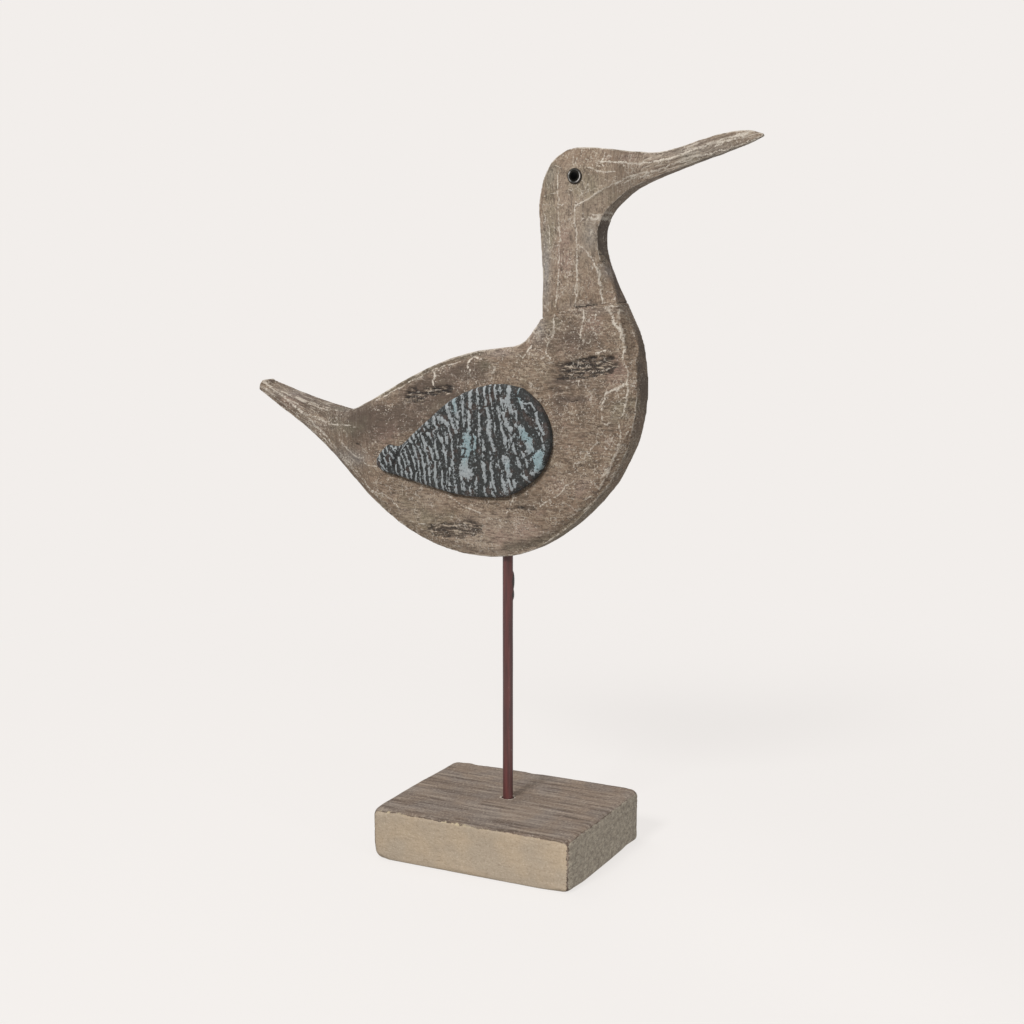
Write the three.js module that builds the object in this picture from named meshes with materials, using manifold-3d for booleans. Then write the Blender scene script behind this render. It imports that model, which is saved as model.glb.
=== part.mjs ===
// Carved wooden shorebird on a thin rod and a wooden block.
// Millimetres, +Z up, +X towards the beak, and the photographed side faces -Y.
// The origin is on the block's underside, straight below the rod.

import * as THREE from 'three';
import { mergeVertices } from 'three/addons/utils/BufferGeometryUtils.js';
import Module from 'manifold-3d';

const wasm = await Module();
wasm.setup();

// Block
const BLOCK_LENGTH = 107.5;
const BLOCK_WIDTH = 86;
const BLOCK_HEIGHT = 26;
const BLOCK_CENTRE = [0.4, -0.9];
const BLOCK_CORNER_RADIUS = 4.8;
const BLOCK_EDGE_ROUNDING = 2;

// Rod and the drilled holes that hold it
const ROD_RADIUS = 2.6;
const ROD_SIDES = 20;
const ROD_DEPTH_IN_BLOCK = 15;
const ROD_DEPTH_IN_BELLY = 15;
const SOCKET_OVERRUN = 6;
const BELLY_HEIGHT = 148.8;
const FIT_GAP = 0.3;

// Carved board: half thicknesses across Y, first at its edge and then at its face
const BODY_RIM_HALF = 6.4;
const NECK_RIM_HALF = 5.8;
const TAIL_TIP_HALF = 6.2;
const BEAK_TIP_HALF = 1.0;
const BODY_HALF = 10.2;
const SHOULDER_HALF = 8.9;
const NECK_HALF = 8.3;
const TAIL_HALF = 7.4;

// Where the board thins: the shoulder and neck by height, the tail and beak by length
const SHOULDER_THINS = [236, 268];
const NECK_THINS = [262, 285];
const TAIL_THINS = [78, 140];
const HEAD_BOTTOM = 300;
const BEAK_ROOT = 54;
const BEAK_LENGTH = 72;

// Knife work: length of one cut along the edge, and how much each cut wanders
const BODY_CUT_LENGTH = 8;
const HEAD_CUT_LENGTH = 5;
const SHOULDER_CUT_LENGTH = 3.5;
const CUT_WANDER = 0.07;

// Eyes
const EYE_X = 38.4;
const EYE_Z = 329.7;
const EYE_RADIUS = 3.6;
const EYE_HEIGHT = 1.5;
const EYE_SIDES = 20;

// Wings: carved teardrop plates glued flat on each side
const WING_TIP = [-66.9, 192.6];
const WING_END = [30.1, 209.1];
const WING_HALF_WIDTH = 28;
const WING_WIDEST = 0.66;
const WING_BOW = 2;
const WING_THICKNESS = 4.2;
const WING_WALL = 1.4;
const WING_EDGE_WIDTH = 4;
const WING_RIDGES = 24;
const WING_RIDGE_DEPTH = 0.7;
const WING_RIDGE_LEAN = 0.05;
const WING_RIDGE_WAVE = 0.008;
const WING_COLUMNS = 9;
const WING_CLEFT_SHARE = 0.115;
const WING_CLEFT_HALF_WIDTH = 0.022;
const WING_CLEFT_DEPTH = 1.6;

// Outline of the bird, seen from the photographed side, as [x, z, reach].
// Reach is how far in from the edge the shallow knife cuts run at that place.
const UNDERSIDE = [
  [-140.8, 225.4, 1.3],
  [-127.8, 217.1, 2.3],
  [-113.5, 208.4, 3.8],
  [-96.3, 195.2, 6.5],
  [-81.1, 180.6, 10.5],
  [-65.3, 167.1, 14],
  [-47.0, 156.5, 15],
  [-26.3, 150.1, 16],
  [-4.5, BELLY_HEIGHT, 16],
  [13.6, 152.4, 16],
  [31.6, 163.1, 16],
  [47.3, 177.2, 16],
  [59.0, 193.4, 16],
  [67.1, 210.8, 16],
  [70.2, 229.2, 16],
  [69.0, 247.6, 15],
  [67.0, 256.5, 14],
  [62.9, 265.0, 12],
];
const THROAT = [
  [54.9, 281.4, 10],
  [50.0, 294.1, 10],
  [49.1, 303.2, 10],
  [51.8, 311.8, 9.6],
  [58.2, 318.8, 8],
  [66.0, 324.2, 6.8],
  [74.8, 327.9, 5.2],
  [92.9, 334.1, 3.6],
  [110.6, 339.6, 2.4],
  [121.1, 343.3, 1.3],
  [125.6, 345.4, 0.3],
];
const CROWN = [
  [125.2, 346.6, 0.3],
  [120.8, 347.8, 1.2],
  [111.9, 347.9, 2.4],
  [98.8, 345.1, 3.2],
  [85.9, 341.2, 4.2],
  [76.9, 339.6, 5.4],
  [67.5, 340.1, 7],
  [55.6, 341.4, 8.5],
  [43.3, 342.6, 9],
  [33.3, 341.6, 9],
  [25.7, 336.6, 9],
  [21.3, 328.2, 10],
  [19.2, 317.1, 10.4],
  [20.0, 301.1, 10.4],
  [21.1, 285.1, 10.4],
  [21.3, 271.1, 10.4],
];
const SHOULDER = [
  [20.5, 264.3, 10],
  [17.2, 260.0, 10],
  [14.2, 255.8, 11],
  [10.0, 252.4, 13],
  [3.6, 250.8, 15],
];
const BACK = [
  [3.6, 250.8, 15],
  [-13.4, 248.5, 16],
  [-30.5, 243.6, 16],
  [-50.8, 234.7, 15],
  [-70.6, 224.0, 12],
  [-80.4, 218.9, 10],
];
const TAIL_TOP = [
  [-88.9, 216.0, 7],
  [-99.4, 217.9, 5.6],
  [-122.4, 224.0, 2.7],
  [-139.8, 229.6, 1.3],
];

// The saw cut between the neck piece and the body, from the back to the breast
const JOINT_LINE = [
  [11.6, 261.4],
  [20.5, 264.3],
  [39.1, 269.8],
  [60.1, 271.6],
  [71.6, 272.5],
];

// Each of the two boards is drawn past the saw cut as a stub, and trimmed there
const STUB_LENGTH = 30;
const STUB_REACH = 2;
const NECK_BACK_X = 21.2;
const CUTTER_REACH = 150;

// Where each ring of cuts lies, as a share of the reach, and how far it has risen
const BODY_RINGS = [
  { inset: 0.28, rise: 0.6 },
  { inset: 1.0, rise: 0.88 },
  { inset: 1.35, rise: 1.0 },
];
const NECK_RINGS = [
  { inset: 0.34, rise: 0.36 },
  { inset: 1.0, rise: 1.0 },
];

const lerp = THREE.MathUtils.lerp;
const smoothstep = THREE.MathUtils.smoothstep;

// A repeatable number from -1 to 1 for the wander of one knife cut
function wander(index, ring) {
  const wave = Math.sin(index * 12.9898 + ring * 78.233) * 43758.5453;
  return 2 * (wave - Math.floor(wave)) - 1;
}

// Share of the way along the beak, 0 everywhere else on the bird
function beakShare(x, z) {
  return z > HEAD_BOTTOM ? THREE.MathUtils.clamp((x - BEAK_ROOT) / BEAK_LENGTH, 0, 1) : 0;
}

// Half width of the flat edge of the board at a place on the outline
function rimHalf(x, z) {
  const neck = lerp(BODY_RIM_HALF, NECK_RIM_HALF, smoothstep(z, ...NECK_THINS));
  const tail = lerp(neck, TAIL_TIP_HALF, smoothstep(-x, ...TAIL_THINS));
  return lerp(tail, BEAK_TIP_HALF, beakShare(x, z));
}

// Half thickness of the board at a place on the body's face
function bodyFaceHalf(x, z) {
  const shoulder = lerp(BODY_HALF, SHOULDER_HALF, smoothstep(z, ...SHOULDER_THINS));
  return lerp(shoulder, TAIL_HALF, smoothstep(-x, ...TAIL_THINS));
}

// Half thickness of the neck piece, which thins out along the beak
function neckFaceHalf(x, z) {
  return lerp(NECK_HALF, BEAK_TIP_HALF + 0.2, beakShare(x, z));
}

// Points along one stretch of outline, one for each knife cut; a straight end is one cut
function cutPoints([stretch, cutLength]) {
  const points = stretch.map(([x, z, reach]) => new THREE.Vector3(x, reach, z));
  const curve = new THREE.CatmullRomCurve3(points, false, 'centripetal');
  const cuts = stretch.length === 2 ? 1 : Math.round(curve.getLength() / cutLength);
  return curve.getSpacedPoints(cuts).map((p) => ({ x: p.x, z: p.z, reach: p.y }));
}

// The closed outline of a piece, from its stretches, each ending where the next starts
function closedOutline(stretches) {
  return stretches.flatMap((stretch) => cutPoints(stretch).slice(0, -1));
}

// Direction into the board at each outline point, from its two neighbours
function inwardDirections(outline) {
  const count = outline.length;
  const area = outline.reduce((sum, p, i) => {
    const q = outline[(i + 1) % count];
    return sum + p.x * q.z - q.x * p.z;
  }, 0);
  const turn = Math.sign(area);
  const edgeNormal = (a, b) => {
    const length = Math.hypot(b.x - a.x, b.z - a.z);
    return [-turn * (b.z - a.z) / length, turn * (b.x - a.x) / length];
  };
  return outline.map((point, i) => {
    const before = edgeNormal(outline[(i + count - 1) % count], point);
    const after = edgeNormal(point, outline[(i + 1) % count]);
    const x = before[0] + after[0];
    const z = before[1] + after[1];
    const length = Math.hypot(x, z);
    const miter = Math.min(2 / length, 1.4);
    return [miter * x / length, miter * z / length];
  });
}

// A solid from a vertex list and triangle list, with its faces pointing out
function solidGeometry(vertices, triangles) {
  let volume = 0;
  for (let t = 0; t < triangles.length; t += 3) {
    const [a, b, c] = [0, 1, 2].map((k) => new THREE.Vector3(...vertices[triangles[t + k]]));
    volume += a.dot(b.cross(c));
  }
  if (volume < 0) {
    triangles.reverse();
  }
  const geometry = new THREE.BufferGeometry();
  geometry.setAttribute('position', new THREE.Float32BufferAttribute(vertices.flat(), 3));
  geometry.setIndex(triangles);
  geometry.computeVertexNormals();
  return geometry;
}

// A board cut to an outline and whittled: a flat edge, then rings of slanting cuts
// that rise to the flat face on each side
function whittledBoard(outline, rings, faceHalf) {
  const count = outline.length;
  const inward = inwardDirections(outline);
  const vertices = [];
  const triangles = [];
  const ringStart = {};

  for (const side of [-1, 1]) {
    ringStart[side] = [vertices.length];
    outline.forEach((p, i) => {
      const half = rimHalf(p.x, p.z) * (1 + 0.4 * CUT_WANDER * wander(i, 3 + side));
      vertices.push([p.x, side * half, p.z]);
    });
    rings.forEach((ring, k) => {
      ringStart[side].push(vertices.length);
      const last = k === rings.length - 1;
      outline.forEach((p, i) => {
        const shake = CUT_WANDER * wander(i, 10 * (k + 1) + side);
        const inset = p.reach * ring.inset * (1 + (last ? 0 : shake));
        const x = p.x + inset * inward[i][0];
        const z = p.z + inset * inward[i][1];
        const low = rimHalf(p.x, p.z);
        const half = lerp(low, faceHalf(x, z), ring.rise * (1 - (last ? 0 : Math.abs(shake))));
        vertices.push([x, side * half, z]);
      });
    });
  }

  const band = (startA, startB, flip) => {
    for (let i = 0; i < count; i += 1) {
      const j = (i + 1) % count;
      const quad = [startA + i, startA + j, startB + j, startB + i];
      if (flip) {
        quad.reverse();
      }
      triangles.push(quad[0], quad[1], quad[2], quad[0], quad[2], quad[3]);
    }
  };
  band(ringStart[-1][0], ringStart[1][0], false);
  for (const side of [-1, 1]) {
    const starts = ringStart[side];
    for (let k = 0; k + 1 < starts.length; k += 1) {
      band(starts[k], starts[k + 1], side < 0);
    }
    const faceStart = starts[starts.length - 1];
    const contour = outline.map((p, i) => {
      const [x, , z] = vertices[faceStart + i];
      return new THREE.Vector2(x, z);
    });
    const clockwise = THREE.ShapeUtils.isClockWise(contour);
    for (const [a, b, c] of THREE.ShapeUtils.triangulateShape(contour, [])) {
      const triangleClockwise = THREE.ShapeUtils.isClockWise([contour[a], contour[b], contour[c]]);
      const withOutline = triangleClockwise === clockwise;
      const corners = withOutline === side > 0 ? [a, b, c] : [a, c, b];
      triangles.push(...corners.map((corner) => faceStart + corner));
    }
  }
  return solidGeometry(vertices, triangles);
}

// Joining and cutting of closed solids
function toSolid(geometry) {
  const plain = geometry.clone();
  plain.deleteAttribute('normal');
  plain.deleteAttribute('uv');
  const merged = mergeVertices(plain, 1e-4);
  const mesh = new wasm.Mesh({
    numProp: 3,
    vertProperties: new Float32Array(merged.attributes.position.array),
    triVerts: new Uint32Array(merged.index.array),
  });
  return new wasm.Manifold(mesh);
}

function toGeometry(solid) {
  const mesh = solid.getMesh();
  const geometry = new THREE.BufferGeometry();
  geometry.setAttribute('position', new THREE.BufferAttribute(mesh.vertProperties, 3));
  geometry.setIndex(new THREE.BufferAttribute(mesh.triVerts, 1));
  geometry.computeVertexNormals();
  return geometry;
}

function subtract(geometry, ...cutters) {
  const left = cutters.reduce((solid, cutter) => solid.subtract(toSolid(cutter)), toSolid(geometry));
  return toGeometry(left);
}

// An upright round pin between two heights, on the rod's axis
function pin(radius, bottom, top) {
  const geometry = new THREE.CylinderGeometry(radius, radius, top - bottom, ROD_SIDES);
  geometry.rotateX(Math.PI / 2);
  geometry.translate(0, 0, (bottom + top) / 2);
  return geometry;
}

// Everything above (1) or below (-1) the saw cut, as a thick slab across the board
function jointCutter(direction, shift) {
  const line = JOINT_LINE.map(([x, z]) => [x, z + shift]);
  const start = line[0][1];
  const end = line[line.length - 1][1];
  const shape = new THREE.Shape();
  shape.moveTo(-CUTTER_REACH, start);
  line.forEach(([x, z]) => shape.lineTo(x, z));
  shape.lineTo(CUTTER_REACH, end);
  shape.lineTo(CUTTER_REACH, end + direction * 2 * CUTTER_REACH);
  shape.lineTo(-CUTTER_REACH, start + direction * 2 * CUTTER_REACH);
  shape.closePath();
  const geometry = new THREE.ExtrudeGeometry(shape, { depth: CUTTER_REACH, bevelEnabled: false });
  geometry.translate(0, 0, -CUTTER_REACH / 2);
  geometry.rotateX(Math.PI / 2);
  return geometry;
}

function bodyGeometry() {
  const stubTop = SHOULDER[0][1] + STUB_LENGTH;
  const stubFront = [THROAT[1][0], stubTop, STUB_REACH];
  const stubBack = [NECK_BACK_X, stubTop, STUB_REACH];
  const tailEnd = [TAIL_TOP[TAIL_TOP.length - 1], UNDERSIDE[0]];
  const outline = closedOutline([
    [[...UNDERSIDE, THROAT[0], stubFront], BODY_CUT_LENGTH],
    [[stubFront, stubBack], BODY_CUT_LENGTH],
    [[stubBack, ...SHOULDER], SHOULDER_CUT_LENGTH],
    [[...BACK, TAIL_TOP[0]], BODY_CUT_LENGTH],
    [TAIL_TOP, BODY_CUT_LENGTH],
    [tailEnd, BODY_CUT_LENGTH],
  ]);
  const board = whittledBoard(outline, BODY_RINGS, bodyFaceHalf);
  const socketTop = BELLY_HEIGHT + ROD_DEPTH_IN_BELLY + FIT_GAP;
  const socket = pin(ROD_RADIUS + FIT_GAP, BELLY_HEIGHT - SOCKET_OVERRUN, socketTop);
  return subtract(board, jointCutter(1, 0), socket);
}

function headNeckGeometry() {
  const foot = SHOULDER[0][1] - STUB_LENGTH;
  const breast = UNDERSIDE.slice(-2);
  const footFront = [breast[0][0], foot, STUB_REACH];
  const footBack = [NECK_BACK_X, foot, STUB_REACH];
  const beakTip = [THROAT[THROAT.length - 1], CROWN[0]];
  const outline = closedOutline([
    [[footFront, ...breast, ...THROAT], HEAD_CUT_LENGTH],
    [beakTip, HEAD_CUT_LENGTH],
    [[...CROWN, footBack], HEAD_CUT_LENGTH],
    [[footBack, footFront], HEAD_CUT_LENGTH],
  ]);
  const board = whittledBoard(outline, NECK_RINGS, neckFaceHalf);
  return subtract(board, jointCutter(-1, FIT_GAP));
}

function blockGeometry() {
  const bevel = BLOCK_EDGE_ROUNDING;
  const halfX = BLOCK_LENGTH / 2 - bevel;
  const halfY = BLOCK_WIDTH / 2 - bevel;
  const r = BLOCK_CORNER_RADIUS - bevel;
  const shape = new THREE.Shape();
  shape.absarc(halfX - r, halfY - r, r, 0, Math.PI / 2);
  shape.absarc(-halfX + r, halfY - r, r, Math.PI / 2, Math.PI);
  shape.absarc(-halfX + r, -halfY + r, r, Math.PI, 1.5 * Math.PI);
  shape.absarc(halfX - r, -halfY + r, r, 1.5 * Math.PI, 2 * Math.PI);
  const block = new THREE.ExtrudeGeometry(shape, {
    depth: BLOCK_HEIGHT - 2 * bevel,
    bevelThickness: bevel,
    bevelSize: bevel,
    bevelSegments: 3,
    curveSegments: 4,
  });
  block.translate(BLOCK_CENTRE[0], BLOCK_CENTRE[1], bevel);
  const socketBottom = BLOCK_HEIGHT - ROD_DEPTH_IN_BLOCK - FIT_GAP;
  const socket = pin(ROD_RADIUS + FIT_GAP, socketBottom, BLOCK_HEIGHT + SOCKET_OVERRUN);
  return subtract(block, socket);
}

function rodGeometry() {
  return pin(ROD_RADIUS, BLOCK_HEIGHT - ROD_DEPTH_IN_BLOCK, BELLY_HEIGHT + ROD_DEPTH_IN_BELLY);
}

// The teardrop, from the narrow tip at 0 to the round end at 1
function wingMiddle(s) {
  return lerp(WING_TIP[1], WING_END[1], s) + WING_BOW * Math.sin(Math.PI * s);
}

function wingHalfWidth(s) {
  const q = s / WING_WIDEST;
  const bluntTip = Math.sqrt(Math.min(1, s / 0.02));
  const taper = bluntTip * (q * (1.5 - 0.5 * q) + 0.1 * (1 - q) ** 3);
  const roundEnd = Math.sqrt(Math.max(0, 1 - ((s - WING_WIDEST) / (1 - WING_WIDEST)) ** 2));
  return WING_HALF_WIDTH * (s > WING_WIDEST ? roundEnd : taper);
}

// Height of the wing's carved face above its back, at share s along and t across
function wingRise(s, t, row) {
  const edgeGap = (1 - Math.abs(t)) * wingHalfWidth(s);
  const endGap = Math.min(s, 1 - s) * (WING_END[0] - WING_TIP[0]);
  const shoulder = Math.min(1, Math.min(edgeGap, endGap) / WING_EDGE_WIDTH);
  const rounded = Math.sqrt(1 - (1 - shoulder) ** 2);
  const ridge = WING_RIDGE_DEPTH * (row % 2);
  const fromCleft = Math.abs(s - WING_CLEFT_SHARE) / WING_CLEFT_HALF_WIDTH;
  const cleft = WING_CLEFT_DEPTH * Math.max(0, 1 - fromCleft);
  return lerp(WING_WALL, WING_THICKNESS, rounded) - shoulder * (ridge + cleft);
}

// A closed teardrop plate whose face has wavy ridges across it
function wingGeometry(side) {
  const rows = 2 * WING_RIDGES;
  const endShares = [0, 0.002, 0.007];
  const shares = endShares.slice();
  for (let i = 1; i < rows; i += 1) {
    shares.push(i / rows);
  }
  shares.push(...endShares.map((share) => 1 - share).reverse());

  const vertices = [];
  const triangles = [];
  const backY = BODY_HALF + FIT_GAP;
  const place = (s, t, rise) => {
    const across = WING_RIDGE_WAVE * Math.sin(9 * t + 25 * s) - WING_RIDGE_LEAN * t;
    const along = s + Math.sin(Math.PI * s) * across;
    const x = lerp(WING_TIP[0], WING_END[0], along);
    const z = wingMiddle(along) + t * wingHalfWidth(along);
    return [x, side * (backY + rise), z];
  };
  shares.forEach((s, row) => {
    for (let c = 0; c < WING_COLUMNS; c += 1) {
      const t = Math.sin((Math.PI / 2) * (-1 + (2 * c) / (WING_COLUMNS - 1)));
      vertices.push(place(s, t, wingRise(s, t, row)));
    }
    vertices.push(place(s, 1, 0));
    vertices.push(place(s, -1, 0));
  });
  const around = WING_COLUMNS + 2;
  for (let row = 0; row + 1 < shares.length; row += 1) {
    for (let c = 0; c < around; c += 1) {
      const a = row * around + c;
      const b = row * around + (c + 1) % around;
      triangles.push(a, b, b + around, a, b + around, a + around);
    }
  }
  const capStarts = [0, (shares.length - 1) * around];
  capStarts.forEach((start, end) => {
    for (let c = 1; c + 1 < around; c += 1) {
      const corners = [start, start + c, start + c + 1];
      triangles.push(...(end ? corners : corners.reverse()));
    }
  });
  return solidGeometry(vertices, triangles);
}

// A shallow round setting with a domed pupil, its axis across the board
function eyeGeometry(side) {
  const profile = [
    [0, 0],
    [EYE_RADIUS, 0],
    [EYE_RADIUS, 0.5],
    [0.93 * EYE_RADIUS, 0.8],
    [0.8 * EYE_RADIUS, 0.8],
    [0.72 * EYE_RADIUS, 0.45],
    [0.6 * EYE_RADIUS, 0.6],
    [0.35 * EYE_RADIUS, 0.86 * EYE_HEIGHT],
    [0, EYE_HEIGHT],
  ].map(([radius, height]) => new THREE.Vector2(radius, height));
  const eye = new THREE.LatheGeometry(profile, EYE_SIDES);
  eye.rotateX(side > 0 ? 0 : Math.PI);
  eye.translate(EYE_X, side * (NECK_HALF + FIT_GAP), EYE_Z);
  return toGeometry(toSolid(eye));
}

const finishes = {
  paleBlock: { color: 0xa39684, roughness: 0.88 },
  darkRod: { color: 0x4a3230, roughness: 0.55 },
  greyWood: { color: 0x82735f, roughness: 0.86 },
  charcoalWing: { color: 0x4c5252, roughness: 0.8 },
  blackEye: { color: 0x101010, roughness: 0.25 },
};

const bird = new THREE.Group();

function addPiece(name, geometry, finish) {
  const material = new THREE.MeshStandardMaterial({ ...finishes[finish], metalness: 0 });
  const mesh = new THREE.Mesh(geometry, material);
  mesh.name = name;
  bird.add(mesh);
}

addPiece('base_block', blockGeometry(), 'paleBlock');
addPiece('rod', rodGeometry(), 'darkRod');
addPiece('body', bodyGeometry(), 'greyWood');
addPiece('head_neck', headNeckGeometry(), 'greyWood');
for (const [name, side] of [['left', -1], ['right', 1]]) {
  addPiece(`wing_${name}`, wingGeometry(side), 'charcoalWing');
  addPiece(`eye_${name}`, eyeGeometry(side), 'blackEye');
}

export default bird;
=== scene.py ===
"""Carved wooden shorebird on a rod and block: the finish of every surface.

Sizes are in millimetres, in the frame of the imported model: +X towards the beak, +Z up,
and the photographed side of the bird faces -Y. A mesh is scaled to metres when it is made.
"""

import itertools
import math

import bmesh
import bpy
import numpy as np
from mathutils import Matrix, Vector


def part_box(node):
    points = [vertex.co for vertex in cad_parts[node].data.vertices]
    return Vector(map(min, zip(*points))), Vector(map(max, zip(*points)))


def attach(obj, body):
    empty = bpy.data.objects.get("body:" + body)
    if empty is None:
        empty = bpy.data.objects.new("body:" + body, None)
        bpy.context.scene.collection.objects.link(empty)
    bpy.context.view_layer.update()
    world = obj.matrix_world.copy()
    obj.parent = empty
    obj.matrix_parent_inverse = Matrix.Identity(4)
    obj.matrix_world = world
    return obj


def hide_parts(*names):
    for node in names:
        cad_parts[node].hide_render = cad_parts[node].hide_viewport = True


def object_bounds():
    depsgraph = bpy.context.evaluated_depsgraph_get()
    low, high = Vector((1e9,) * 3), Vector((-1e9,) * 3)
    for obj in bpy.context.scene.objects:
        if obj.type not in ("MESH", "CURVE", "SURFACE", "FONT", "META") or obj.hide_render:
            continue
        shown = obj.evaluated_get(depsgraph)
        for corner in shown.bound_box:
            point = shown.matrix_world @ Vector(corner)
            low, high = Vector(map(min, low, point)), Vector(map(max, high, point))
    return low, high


MM = 0.001

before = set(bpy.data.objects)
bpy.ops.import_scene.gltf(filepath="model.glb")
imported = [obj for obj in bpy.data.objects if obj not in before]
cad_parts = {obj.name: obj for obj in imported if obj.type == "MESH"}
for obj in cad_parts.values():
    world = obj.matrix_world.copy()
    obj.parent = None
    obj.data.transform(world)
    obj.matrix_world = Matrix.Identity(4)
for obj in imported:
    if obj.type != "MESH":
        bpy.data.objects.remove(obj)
cad_low, cad_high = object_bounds()

# Size of the small faces that each piece is remeshed into
BODY_FACE = 0.70
HEAD_FACE = 0.55
BLOCK_FACE = 0.65

# The thin gap between body and neck, and how far the finished body reaches past it
JOINT_GAP = 0.3
JOINT_REACH = 0.2

# These stand for a distance where there is no line or cut
FAR_OFF = 99.0
OFF_FACE = 9.0

# Camera, with its turns in degrees
CAMERA_PLACE = (359.75, -707.7, 296.15)
CAMERA_YAW = 26.8
CAMERA_PITCH = -9.0
CAMERA_LENS = 58.08
SENSOR_WIDTH = 36

# Backdrop: radii in metres, and the two distances between which the floor's shade fades out
FLOOR_RADIUS = 12
DOME_RADIUS = 12.5
BACKDROP_COLOUR = (0.888, 0.855, 0.831)
FLOOR_SHADE = (0.16, 0.155, 0.15)
FLOOR_FADE = (120, 600)
FLOOR_LIT = 0.165

# Light from all round, then each lamp's place, aim and size in metres and its power
AMBIENT_COLOUR = (1.0, 0.985, 0.965, 1)
AMBIENT = 0.32
LIGHT_AIM = (0, 0, 0.2)
LAMPS = [
    ("key", (-0.15, -1.6, 1.35), LIGHT_AIM, 0.5, 30),
    ("top", (-0.8, 0.3, 1.7), LIGHT_AIM, 1.2, 8),
    ("low fill", (0.55, -0.25, 0.12), (0.05, 0, 0.01), 0.1, 0.03),
]
FILL_SPREAD = math.radians(24)

# Wings: the edge of the teardrop above and below, as (x, z) points from the tip to the round end
WING_TOP = [
    (-66.6, 192.6), (-65.5, 195.7), (-62.9, 199.0), (-59.9, 201.6), (-57.5, 201.0), (-54.3, 200.9),
    (-51.4, 202.3), (-46.9, 206.5), (-35.9, 215.9), (-29.9, 221.1), (-23.9, 225.3), (-16.9, 229.0),
    (-9.9, 231.6), (-2.9, 233.3), (4.1, 233.6), (13.4, 232.0), (18.1, 228.9), (23.1, 224.4),
    (26.1, 219.4), (28.1, 214.4), (28.9, 208.6),
]
WING_BOTTOM = [
    (-66.6, 192.6), (-65.9, 190.5), (-63.4, 188.5), (-59.4, 187.3), (-54.9, 186.7), (-40.9, 183.3),
    (-24.9, 179.7), (-15.9, 178.9), (-6.9, 178.7), (3.8, 179.4), (10.5, 182.1), (16.3, 186.0),
    (21.1, 189.9), (24.6, 194.4), (27.1, 199.4), (28.6, 204.4), (28.9, 208.6),
]

# Wings: how far they rise in the middle and at the rim, where they start, and their relief
WING_RISE = 4.05
WING_WALL = 1.4
WING_BACK = 10.35
WING_BASE = 10.5
WING_SHOULDER = 4.0
WING_GROOVE = 0.95
WING_GRIT = 0.12
CLEFT_PLACE = (-56.0, 193)
CLEFT_WIDTH = 1.3
CLEFT_DEPTH = 1.2
WING_MARGIN = 0.0006
WING_SEEDS = {-1: 300, 1: 400}
WING_ROWS = {-1: 330, 1: 180}
WING_COLUMNS = {-1: 200, 1: 110}

# Ridges left between knife cuts: width, then (x, z) points; on the far face they are shifted
HEAD_RIDGES = [
    (0.8, (29.5, 333), (30, 321), (30.5, 311), (31, 301), (30.5, 292), (30, 281), (28.8, 270.5)),
    (0.9, (38.8, 317), (38.3, 311), (39.3, 304), (40, 297), (40, 287), (39.4, 278), (39.5, 270.5)),
    (0.8, (40.3, 299.5), (43.5, 296), (46.5, 292.3), (49.3, 288.5)),
    (1.0, (49.3, 288.5), (50.3, 283), (51.3, 278), (52.2, 272.8)),
    (1.0, (39.5, 317), (44, 318.8), (50, 322.3), (56, 325), (63, 328), (71, 330.5), (80, 332.3)),
    (1.0, (80, 332.3), (88, 334.6), (96, 337), (104, 338.8), (113, 341.2), (123.5, 344.3)),
    (0.7, (62, 326), (68, 328.6), (75, 330)),
    (1.0, (50.5, 336.2), (57, 335.3), (66, 334.8), (75, 335.2), (84, 337), (92, 339.2)),
    (1.0, (92, 339.2), (98, 341.6), (104, 343.6), (111, 345.6), (119, 346.8)),
    (0.9, (45.5, 333.7), (49, 332), (53, 331.2), (58, 331)),
    (0.7, (22, 321), (26, 321.8), (30, 322.4)),
    (0.6, (33, 322.4), (36.3, 322.9)),
    (0.6, (30, 317.5), (32, 316.3), (35, 317.6)),
    (0.6, (27, 335), (31, 333.3)),
    (0.6, (37.3, 341), (37.5, 334)),
    (2.2, (45.2, 310.6), (48, 310.1), (51, 310.6), (57, 311.2)),
    (0.8, (46.5, 312.6), (50, 312.2), (56, 313.2)),
    (0.6, (42.5, 313.5), (43.5, 311), (41.5, 309)),
    (0.6, (39.6, 283), (40.5, 276)),
    (0.8, (97, 340.5), (103, 343), (110, 343.6)),
    (0.7, (104, 341.5), (112, 344.8), (118, 345.6)),
    (0.7, (52, 336.4), (53, 340.5)),
    (0.6, (22.5, 313), (25, 306), (25.5, 298)),
    (0.7, (52, 271.9), (60, 272.1), (68, 272.3)),
]
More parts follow.
